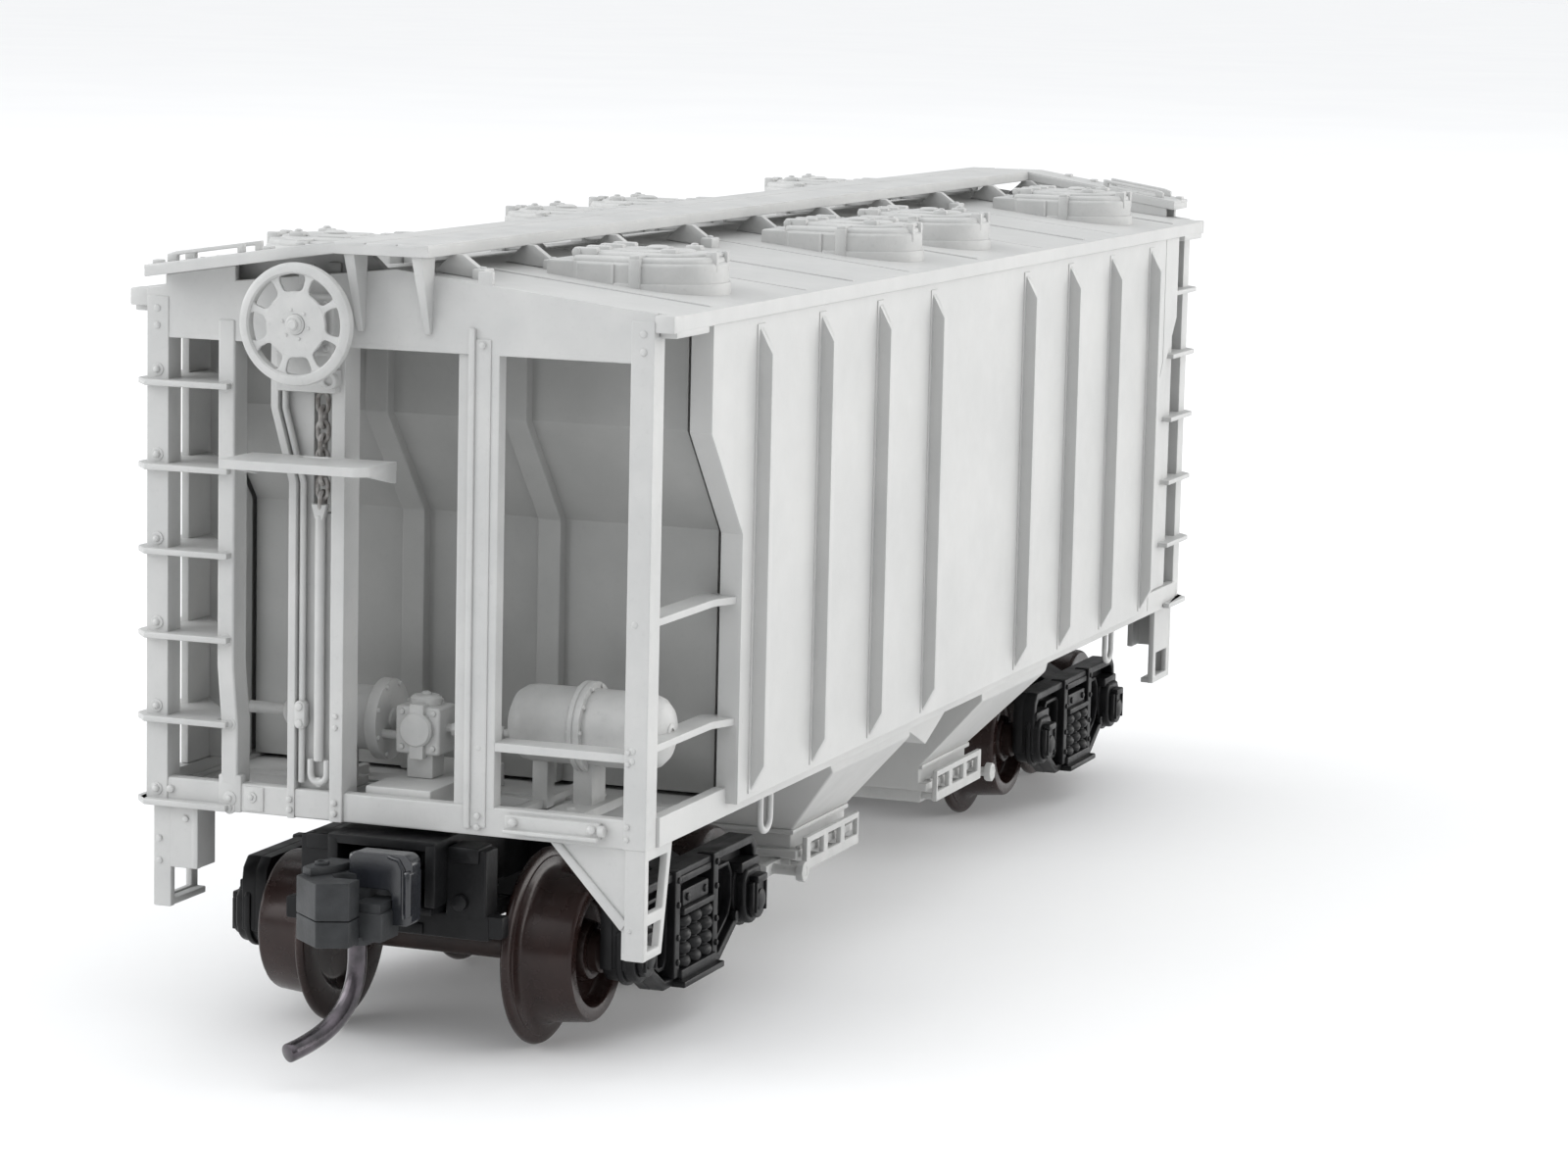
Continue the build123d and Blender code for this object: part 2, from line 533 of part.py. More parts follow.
def roping_loops():
    """A hanging loop under the side sill at each corner of the bays."""
    loops = []
    for x in (-21.9, 21.9):
        for side in (-1, 1):
            y = side * (POST_Y - 0.05)
            ring = Pos(x, y, SILL_Z - 0.66) * (Rot(90, 0, 0) * Torus(0.5, 0.15))
            loops.append(ring)
    return group(loops)


# ---------------------------------------------------------------- brake gear
def brake_box():
    """The gear housing on the channel post, with the stub shaft that the wheel turns on."""
    x = -END_X
    back = x - 0.12
    body = block(back - 0.75, back, 1.9, 3.85, WHEEL_Z - 1.15, WHEEL_Z + 0.95)
    foot = block(back - 0.45, back, 2.0, 4.3, WHEEL_Z - 2.45, WHEEL_Z - 1.1)
    shaft = rod((back - 0.5, WHEEL_Y, WHEEL_Z), (WHEEL_X - 0.52, WHEEL_Y, WHEEL_Z), 0.3)
    collar = rod((back - 0.5, WHEEL_Y, WHEEL_Z), (back - 0.95, WHEEL_Y, WHEEL_Z), 0.55)
    return joined([body, foot, shaft, collar])


def brake_wheel():
    """An eight-window brake wheel that turns on the stub shaft."""
    centre = (WHEEL_X, WHEEL_Y, WHEEL_Z)
    plane = Plane(origin=centre, x_dir=(0, 1, 0), z_dir=(-1, 0, 0))
    rim = Solid.make_torus(BRAKE_WHEEL_R - 0.2, 0.2, plane)
    disc = rod((WHEEL_X + 0.12, WHEEL_Y, WHEEL_Z), (WHEEL_X - 0.12, WHEEL_Y, WHEEL_Z), BRAKE_WHEEL_R - 0.2)
    hub = rod((WHEEL_X + 0.3, WHEEL_Y, WHEEL_Z), (WHEEL_X - 0.3, WHEEL_Y, WHEEL_Z), 0.55)
    wheel = joined([rim, disc, hub])
    for k in range(8):
        corners = []
        for radius, spread in ((1.08, 15.0), (1.64, 18.0), (1.64, -18.0), (1.08, -15.0)):
            angle = math.radians(45.0 * k + 22.5 + spread)
            y = WHEEL_Y + radius * math.cos(angle)
            z = WHEEL_Z + radius * math.sin(angle)
            corners.append((WHEEL_X + 0.5, y, z))
        wheel = wheel - prism(corners, (-1.0, 0, 0))
    bore = rod((WHEEL_X + 1, WHEEL_Y, WHEEL_Z), (WHEEL_X - 1, WHEEL_Y, WHEEL_Z), 0.3 + RUNNING_FIT)
    return wheel - bore


def brake_chain():
    """The chain that hangs from the gear housing through the brake step."""
    links = []
    x = -END_X + 0.2
    y = 2.8
    top = WHEEL_Z - 2.5
    for k in range(7):
        z = top - 0.32 - k * 0.5
        if k % 2:
            link = Pos(x, y, z) * (Rot(90, 0, 0) * Torus(0.24, 0.09))
        else:
            link = Pos(x, y, z) * (Rot(0, 90, 0) * Torus(0.24, 0.09))
        links.append(link)
    return joined(links)


def brake_rod():
    """The brake rod in the channel post with its clevis, and a thin pipe that leans with the flange."""
    x = -END_X + 0.12
    y = 2.84
    low = 9.35
    main = rod((x, y, 10.2), (x, y, 18.8), 0.18)
    fork_face = [(y - 0.15, 18.7), (y + 0.15, 18.7), (y + 0.3, 19.2), (y - 0.3, 19.2)]
    fork = prism_x(fork_face, x - 0.15, x + 0.15)
    left = rod((x, y + 0.3, low + 0.1), (x, y + 0.3, 10.3), 0.13)
    right = rod((x, y - 0.3, low + 0.1), (x, y - 0.3, 10.3), 0.13)
    yoke = block(x - 0.15, x + 0.15, y - 0.43, y + 0.43, 10.1, 10.4)
    bend = block(x - 0.14, x + 0.14, y - 0.43, y + 0.43, low, low + 0.3)
    route = [(x, 3.5, 9.6), (x, 3.5, KINK_LOW_Z)]
    route += [(x, 3.5 + KINK_SHIFT, KINK_TOP_Z), (x, 3.5 + KINK_SHIFT, 23.6)]
    pipe = [rod(start, end, 0.12) for start, end in zip(route, route[1:])]
    pipe += [Pos(*corner) * Sphere(0.12) for corner in route[1:3]]
    clamp = block(x - 0.25, x + 0.16, 3.34, 3.64, 11.3, 12.3)
    return group([joined([main, fork, left, right, yoke, bend]), joined(pipe + [clamp])])


def brake_step():
    """The platform that the brakeman stands on, with a gusset under each end."""
    back = -END_X - 0.12
    front = back - 2.48
    plan = [(back, -0.15), (front + 0.5, -0.15), (front + 0.15, 0.0), (front, 0.35)]
    plan += [(front, 5.35), (back, 5.35)]
    pieces = [prism_z(plan, STEP_Z - 0.32, STEP_Z)]
    for y in (-0.15, 5.1):
        outline = [(back, STEP_Z - 0.1), (front + 0.5, STEP_Z - 0.1), (front + 0.5, STEP_Z - 0.35)]
        outline += [(back, STEP_Z - 0.75)]
        pieces.append(prism_y(outline, y, y + 0.25))
    slot = block(-END_X - 0.62, -END_X + 0.4, 2.2, 3.6, STEP_Z - 1, STEP_Z + 1)
    return joined(pieces) - slot


# ---------------------------------------------------------------- air brake equipment
def air_reservoir():
    """A drum with domed ends and a middle flange, on a bracket on the cage floor."""
    x = -29.9
    z = 11.6
    radius = 1.35
    drum = rod((x, -3.9, z), (x, -8.0, z), radius)
    caps = []
    for y, direction in ((-3.9, 1), (-8.0, -1)):
        dome = Pos(x, y, z) * Sphere(radius)
        keep = block(x - 3, x + 3, y, y + direction * 0.75, z - 3, z + 3)
        caps.append(dome & keep)
    flange = rod((x, -5.7, z), (x, -6.15, z), radius + 0.25)
    plug = rod((x, -8.6, z), (x, -8.95, z), 0.35)
    bracket = block(x - 0.6, x + 0.6, -6.25, -5.55, SHEET_LOW_Z + 0.02, z - 0.6)
    foot = block(x - 1.9, x + 1.6, -6.5, -5.2, SHEET_LOW_Z + 0.02, SHEET_LOW_Z + 0.4)
    return joined([drum, flange, plug, bracket, foot] + caps)


def control_valve():
    """The control valve: a bolted body with two round covers on a bracket."""
    x = -30.4
    body = block(x - 0.7, x + 0.7, -0.75, 0.95, 10.3, 12.0)
    covers = [rod((x - 1.0, 0.1, 11.2), (x + 1.0, 0.1, 11.2), 0.6)]
    covers.append(rod((x, 0.1, 11.8), (x, 0.1, 12.35), 0.55))
    pedestal = block(x - 0.5, x + 0.5, -0.4, 0.6, SILL_TOP_Z + 0.27, 10.4)
    return joined([body, pedestal] + covers)


def brake_cylinder():
    """The brake cylinder: a drum with a wide pressure head and a push rod."""
    x = -29.6
    z = 11.2
    barrel = rod((x, 2.0, z), (x, 5.2, z), 1.15)
    head = rod((x, 1.75, z), (x, 2.2, z), 1.45)
    nose = cone((x, 5.2, z), (x, 5.9, z), 1.0, 0.4)
    push = rod((x, 5.8, z), (x, 7.4, z), 0.22)
    bracket = block(x - 0.5, x + 0.5, 3.3, 4.1, SHEET_LOW_Z + 0.02, z - 0.5)
    return joined([barrel, head, nose, push, bracket])


def air_pipes():
    """The pipe from the reservoir to the valve and from the valve to the cylinder."""
    first = rod((-30.4, -0.77, 11.2), (-30.4, -3.1, 11.2), 0.16)
    second = rod((-30.4, 0.97, 10.8), (-30.4, 1.7, 10.8), 0.16)
    return group([first, second])


# ---------------------------------------------------------------- trucks, in their B end place
def wheel_pair(x):
    """Two flanged wheels of one axle, each with a dished face and a bore for the axle."""
    y0 = WHEEL_BACK_Y
    y1 = WHEEL_FACE_Y
    profile = [(AXLE_R, y0 + 0.35), (2.05, y0 + 0.35), (2.3, y0), (3.2, y0), (3.42, y0 + 0.08)]
    profile += [(FLANGE_R, y0 + 0.25), (3.42, y0 + 0.42), (3.1, y0 + 0.55), (2.85, y0 + 0.68)]
    profile += [(TREAD_R, y0 + 0.85), (2.52, y1 - 0.12), (2.42, y1), (2.0, y1), (1.9, y1 - 0.6)]
    profile += [(1.15, y1 - 0.75), (1.05, y1 - 0.15), (AXLE_R, y1 - 0.15)]
    face = Face(Wire.make_polygon([Vector(radius, y, 0) for radius, y in profile]))
    wheel = revolve(face, Axis.Y, 360)
    placed = Pos(x, 0, FLANGE_R) * wheel
    return group([placed, flipped(placed)])


def axle(x):
    """A stout axle with a needle point at each end."""
    z = FLANGE_R
    shoulder = 6.25
    body = rod((x, -shoulder, z), (x, shoulder, z), AXLE_R)
    tips = []
    for side in (-1, 1):
        tips.append(cone((x, side * shoulder, z), (x, side * AXLE_TIP_Y, z), AXLE_R, 0.1))
    return joined([body] + tips)


def side_frame(side):
    """One truck side frame with springs, journal boxes and a needle cup over each axle."""
    inner = side * SIDE_FRAME_Y
    outer = side * (SIDE_FRAME_Y + SIDE_FRAME_THICK)
    cx = -TRUCK_X
    half = HALF_WHEELBASE
    top = FRAME_TOP_Z
    outline = [(-half - 0.95, 4.9), (-half - 0.35, top), (half + 0.35, top), (half + 0.95, 4.9)]
    outline += [(half + 0.95, 2.65), (half - 0.9, 2.55), (2.6, 1.6), (-2.6, 1.6)]
    outline += [(-half + 0.9, 2.55), (-half - 0.95, 2.65)]
    frame = prism_y([(cx + x, z) for x, z in outline], inner, outer)
    for end in (-1, 1):
        window = [(end * 3.9, 3.1), (end * 4.1, 4.3), (end * 3.7, FRAME_CHORD_Z)]
        window += [(end * 2.15, FRAME_CHORD_Z), (end * 2.15, 2.45)]
        frame = frame - prism_y([(cx + x, z) for x, z in window], side * 6, side * 8)
    spring_hole = block(cx - 1.5, cx + 1.5, side * (SIDE_FRAME_Y + 0.3), side * 8, 2.25, 4.4)
    frame = frame - spring_hole
    pieces = [frame]
    for x in (-0.95, 0.0, 0.95):
        pieces.append(rod((cx + x, side * 7.2, 2.2), (cx + x, side * 7.2, 4.45), 0.42))
    pieces.append(block(cx - 1.75, cx + 1.75, side * 7.3, side * 7.85, 1.6, 2.25))
    pieces.append(block(cx - 1.3, cx + 1.3, side * 7.3, side * 7.8, 4.35, 5.3))
    for end in (-1, 1):
        jx = cx + end * half
        pieces.append(block(jx - 0.85, jx + 0.85, side * 7.4, side * 7.95, 2.7, 4.4))
        pieces.append(rod((jx, side * 7.8, 3.5), (jx, side * 8.15, 3.5), 0.6))
    whole = joined(pieces)
    for end in (-1, 1):
        jx = cx + end * half
        mouth = AXLE_R * (AXLE_TIP_Y - SIDE_FRAME_Y) / (AXLE_TIP_Y - 6.25) + RUNNING_FIT + 0.1
        cup_in = (jx, side * (SIDE_FRAME_Y - 0.01), 3.5)
        cup_out = (jx, side * (AXLE_TIP_Y + 0.05), 3.5)
        cup = cone(cup_in, cup_out, mouth, 0.16)
        whole = whole - cup
    return whole


def truck_frame():
    """Side frames, bolster and coupler pocket, moulded as one."""
    cx = -TRUCK_X
    pieces = [side_frame(-1), side_frame(1)]
    bolster = [(-6.6, 4.5), (-6.6, 5.6), (-4.0, 7.1), (4.0, 7.1)]
    bolster += [(6.6, 5.6), (6.6, 4.5), (3.0, 4.2), (-3.0, 4.2)]
    pieces.append(prism_x(bolster, cx - 1.35, cx + 1.35))
    pieces.append(rod((cx, 0, 6.9), (cx, 0, BOLSTER_TOP_Z), 2.3))
    pieces.append(block(-28.4, cx, -1.6, 1.6, 5.3, 7.3))
    mouth = -POCKET_X
    back = -28.3
    wall_y = POCKET_Y - POCKET_WALL
    floor = POCKET_LOW_Z + 0.3
    roof_low = POCKET_TOP_Z - 0.35
    pieces.append(block(mouth, back, -POCKET_Y, POCKET_Y, roof_low, POCKET_TOP_Z))
    for side in (-1, 1):
        pieces.append(block(mouth, back, side * wall_y, side * POCKET_Y, floor, POCKET_TOP_Z))
    pieces.append(block(back - 0.5, back, -POCKET_Y, POCKET_Y, floor, POCKET_TOP_Z))
    pieces.append(rod((-POST_X, 0, POCKET_LOW_Z), (-POST_X, 0, POCKET_TOP_Z - 0.1), 0.45))
    # the end crossbar that carries the brake beam in front of the outer axle
    for side in (-1, 1):
        pieces.append(block(-33.2, -32.2, side * 2.0, side * 3.55, 4.85, 7.56))
    pieces.append(block(-33.2, -32.2, -3.6, 3.6, 4.4, 5.2))
    whole = joined(pieces)
    return whole - rod((cx, 0, 3), (cx, 0, 9), PIN_R + RUNNING_FIT)


def pocket_lid():
    """The plate that closes the coupler pocket from below, pressed on its post."""
    low = POCKET_LOW_Z
    plate = block(-POCKET_X, -28.42, 0.15 - POCKET_Y, POCKET_Y - 0.15, low, low + 0.28)
    return plate - rod((-POST_X, 0, 5), (-POST_X, 0, 6), 0.45)


def coupler_half(z0, z1):
    """Shank, guard arm and knuckle of one coupler half, between two heights."""
    hole = 0.45 + RUNNING_FIT
    ring = rod((-POST_X, 0, z0), (-POST_X, 0, z0 + 0.85), 1.0)
    shank = block(-35.5, -POST_X, -0.5, 0.5, z0, z0 + 0.85)
    plan = [(-35.2, 1.45), (-37.2, 1.72), (-38.35, 0.8), (-37.75, -0.8), (-36.95, -0.72)]
    plan += [(-37.1, 0.3), (-36.5, 0.7), (-36.2, 0.35), (-36.2, -2.1), (-35.35, -2.1), (-35.05, -0.4)]
    head = prism_z(plan, z0, z1)
    return joined([ring, shank, head]) - rod((-POST_X, 0, 4), (-POST_X, 0, 9), hole)


def coupler_upper():
    """The upper half, whose guard arm stands taller than the knuckle."""
    half = coupler_half(COUPLER_SPLIT_Z + 0.27, 7.5)
    tall = block(-36.2, -35.35, -2.1, 0.0, 7.3, 7.8)
    return half + tall


def coupler_lower():
    """The lower half, with the socket for the trip pin."""
    low = 5.0
    half = coupler_half(POCKET_LOW_Z + 0.35, COUPLER_SPLIT_Z + 0.2)
    plan = [(-35.4, 1.4), (-37.2, 1.7), (-38.3, 0.8), (-37.7, -0.78), (-36.0, -1.0), (-35.4, -0.6)]
    chin = prism_z(plan, low, POCKET_LOW_Z + 0.36)
    whole = half + chin
    return whole - rod((-36.62, -0.35, 4), (-36.62, -0.35, 5.9), TRIP_PIN_R)


def trip_pin():
    """The curved steel pin pressed into the lower half."""
    path = FilletPolyline((-36.62, -0.35, 5.88), (-36.62, -0.35, 2.35), (-39.3, 1.0, 1.3), radius=2.3)
    profile = Plane(origin=(-36.62, -0.35, 5.88), z_dir=(0, 0, -1)) * Circle(TRIP_PIN_R)
    return sweep(profile, path=path)


def coupler_spring():
    """The centring spring between the pocket's back wall and the coupler rings."""
    turns = 4
    length = 28.85 - (POST_X - 1.05)
    centre_z = 6.6
    coil = Helix(pitch=abs(length) * 0.8 / turns, height=abs(length) * 0.8, radius=0.5,
                 center=(POST_X * -1 + 1.17, 0, centre_z), direction=(1, 0, 0))
    start = coil @ 0
    profile = Plane(origin=start, z_dir=coil % 0) * Circle(0.1)
    return sweep(profile, path=coil)


def bolster_pin():
    """The pin that holds the truck: a head under the bolster and a shank into the floor."""
    x = -TRUCK_X
    shank = rod((x, 0, 4.0), (x, 0, SHEET_LOW_Z + 0.95), PIN_R)
    head = rod((x, 0, 3.55), (x, 0, 4.12), 1.6)
    slot = block(x - 2, x + 2, -0.2, 0.2, 3.4, 3.85)
    return joined([shank, head]) - slot


# ---------------------------------------------------------------- the assembly
parts = {
    "roof": roof(),
    "side_right": side_sheet(),
    "side_left": flipped(side_sheet()),
    "end_frame_b": end_frame(True),
    "end_frame_a": turned(end_frame(False)),
    "bulkhead_b": bulkhead(),
    "bulkhead_a": turned(bulkhead()),
    "underframe": underframe(),
    "hopper_bay_a": hopper_bay(),
    "hopper_bay_b": turned(hopper_bay()),
    "outlet_gate_a": outlet_gate(),
    "outlet_gate_b": turned(outlet_gate()),
    "steel_weight": steel_weight(),
    "running_board": running_board(),
    "board_supports": board_supports(),
    "hatches_right": hatches(-1),
    "hatches_left": hatches(1),
    "corner_ladders": group(corner_ladder() + [turned(piece) for piece in corner_ladder()]),
    "grab_irons": grab_irons(),
    "stirrup_steps": stirrup_steps(),
    "uncoupling_bars": uncoupling_bars(),
    "roping_loops": roping_loops(),
    "brake_box": brake_box(),
    "brake_wheel": brake_wheel(),
    "brake_chain": brake_chain(),
    "brake_rod": brake_rod(),
    "brake_step": brake_step(),
    "air_reservoir": air_reservoir(),
    "control_valve": control_valve(),
    "brake_cylinder": brake_cylinder(),
    "air_pipes": air_pipes(),
}

for name, place in (("b", lambda shape: shape), ("a", turned)):
    outer_x = -TRUCK_X - HALF_WHEELBASE
    inner_x = -TRUCK_X + HALF_WHEELBASE
    parts["truck_frame_" + name] = place(truck_frame())
    parts["outer_wheels_" + name] = place(wheel_pair(outer_x))
    parts["inner_wheels_" + name] = place(wheel_pair(inner_x))
    parts["outer_axle_" + name] = place(axle(outer_x))
    parts["inner_axle_" + name] = place(axle(inner_x))
    parts["pocket_lid_" + name] = place(pocket_lid())
    parts["coupler_upper_" + name] = place(coupler_upper())
    parts["coupler_lower_" + name] = place(coupler_lower())
    parts["trip_pin_" + name] = place(trip_pin())
    parts["coupler_spring_" + name] = place(coupler_spring())
    parts["bolster_pin_" + name] = place(bolster_pin())

os.makedirs("parts", exist_ok=True)
for name, shape in parts.items():
    export_step(shape, "parts/" + name + ".step")
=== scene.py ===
import math

import bmesh
import bpy
from mathutils import Matrix, Vector
from mathutils.geometry import tessellate_polygon


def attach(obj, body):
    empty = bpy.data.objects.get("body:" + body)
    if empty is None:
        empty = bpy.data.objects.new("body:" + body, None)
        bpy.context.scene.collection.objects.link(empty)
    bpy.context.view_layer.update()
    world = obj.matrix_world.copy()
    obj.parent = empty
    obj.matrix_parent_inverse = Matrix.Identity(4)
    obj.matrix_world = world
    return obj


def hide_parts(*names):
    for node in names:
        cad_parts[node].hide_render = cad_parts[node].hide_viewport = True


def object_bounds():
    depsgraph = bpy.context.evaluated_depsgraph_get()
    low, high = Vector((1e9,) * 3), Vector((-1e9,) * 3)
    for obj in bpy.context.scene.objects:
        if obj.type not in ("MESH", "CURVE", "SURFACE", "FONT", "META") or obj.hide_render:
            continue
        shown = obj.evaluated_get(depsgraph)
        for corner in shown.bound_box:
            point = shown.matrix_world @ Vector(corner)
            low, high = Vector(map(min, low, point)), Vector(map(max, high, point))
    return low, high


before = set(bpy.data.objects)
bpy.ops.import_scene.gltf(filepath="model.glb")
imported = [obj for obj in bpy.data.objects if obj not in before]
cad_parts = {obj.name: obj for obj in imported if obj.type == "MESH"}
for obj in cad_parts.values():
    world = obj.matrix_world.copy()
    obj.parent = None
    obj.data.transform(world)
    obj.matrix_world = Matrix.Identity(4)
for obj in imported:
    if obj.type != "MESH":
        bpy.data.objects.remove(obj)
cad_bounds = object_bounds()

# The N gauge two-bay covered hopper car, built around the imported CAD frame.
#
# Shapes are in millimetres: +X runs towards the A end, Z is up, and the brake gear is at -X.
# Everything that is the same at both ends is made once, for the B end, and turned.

MM = 0.001
Y_AXIS, Z_AXIS = (0, 1, 0), (0, 0, 1)
OUTWARD = (-1, 0, 0)    # out of the B end
HALF_TURN = Matrix.Rotation(math.pi, 4, "Z")
MIRROR_Y = Matrix.Diagonal((1, -1, 1, 1))
SHARP = 0.6             # edges that turn more than this, in radians, are bevelled
SMOOTH_ANGLE = math.radians(38)

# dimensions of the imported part, in millimetres
END_X = 33.4
POST_Y = 9.52
EAVE_Y = 10.2
SHEET_Y = 10.05
SHEET_THICK = 0.45
SILL_Z = 8.13
SILL_TOP_Z = 9.17
LINTEL_Z = 24.64
FASCIA_Z = 25.72
EAVE_Z = 26.28
ROOF_PITCH = 0.11
ROOF_THICK = 0.45
CORNER_POST = 0.86
POST_DEPTH = 0.93
SHEET_TOP_X = 29.5
SHEET_LOW_X = 26.35
CRANK_TOP_Z = 22.0
CRANK_LOW_Z = 18.2
SHEET_LOW_Z = 8.6
RIB_OUTER_X = 25.12
RIB_PITCH = 6.3
BOARD_TOP_Z = 28.33
BOARD_THICK = 0.42
BOARD_HALF = 1.77
BOARD_END_X = 34.6
LATERAL_END_Y = 9.0
LATERAL_DROP = 0.154
SADDLE_X = (-32.2, -26.25, -18.75, -11.25, -3.75, 3.75, 11.25, 18.75, 26.25, 32.2)
HATCH_X = (25.3, 4.3)
TRUCK_X = 23.7
KNUCKLE_SEAM_Z = 5.74
EDGE_LIP = 0.78
SEAM_GAP_RIGHT = 0.34
SEAM_GAP_LEFT = 0.07
HALF_WHEELBASE = 5.4
AXLE_Z = 3.5
WHEEL_BACK_Y = 3.77
WHEEL_FACE_Y = 6.05
POST_X = 31.1
WHEEL_Y = 2.9
WHEEL_Z = 25.5
WHEEL_X = -35.1
STEP_Z = 20.85
RUNG_TOP_Z = 23.2
RUNG_PITCH = 2.96
RUNG_COUNT = 6
STILE_IN_Y = 6.08
STILE_OUT_Y = 6.73
KINK_TOP_Z = 22.45
KINK_LOW_Z = 19.9
KINK_SHIFT = 0.71
BAY_INNER_X = 4.6
BAY_SLOPE_X = 14.2
BAY_OUTER_X = 10.8
BAY_LOW_Z = 4.5
OUTLET_LOW_Z = 3.5
BAY_TOP_Y = 9.1
BAY_LOW_Y = 6.4


def roof_z(y):
    return EAVE_Z + ROOF_PITCH * (EAVE_Y - abs(y))


def lateral_z(y):
    return BOARD_TOP_Z - LATERAL_DROP * (abs(y) - BOARD_HALF)


# ---------------------------------------------------------------- mesh toolkit
def shell_of(bm, bevel, segments=2):
    """Bevels the sharp edges of one closed shell and returns its vertices and faces."""
    bmesh.ops.recalc_face_normals(bm, faces=bm.faces[:])
    if bevel > 0:
        sharp = [e for e in bm.edges if len(e.link_faces) == 2 and e.calc_face_angle(0) > SHARP]
        if sharp:
            bmesh.ops.bevel(bm, geom=sharp, offset=bevel, offset_type="OFFSET", segments=segments,
                            profile=0.5, affect="EDGES", clamp_overlap=True)
    bm.verts.index_update()
    verts = [v.co.copy() for v in bm.verts]
    faces = [[v.index for v in f.verts] for f in bm.faces]
    bm.free()
    return verts, faces


def to_axis(origin, direction):
    """A matrix that takes +Z to a direction and the origin to a point."""
    turn = Vector(direction).normalized().to_track_quat("Z", "Y").to_matrix().to_4x4()
    return Matrix.Translation(Vector(origin)) @ turn


NUDGE = 0.016
NUDGE_RATIOS = (0.6180340, 0.7548777, 0.5698403)
nudge_steps = [0]


def nudge():
    """A shift of a few micrometres, different for each shell, so that no two faces coincide."""
    nudge_steps[0] += 1
    return Vector([NUDGE * ((nudge_steps[0] * ratio) % 1.0 - 0.5) for ratio in NUDGE_RATIOS])


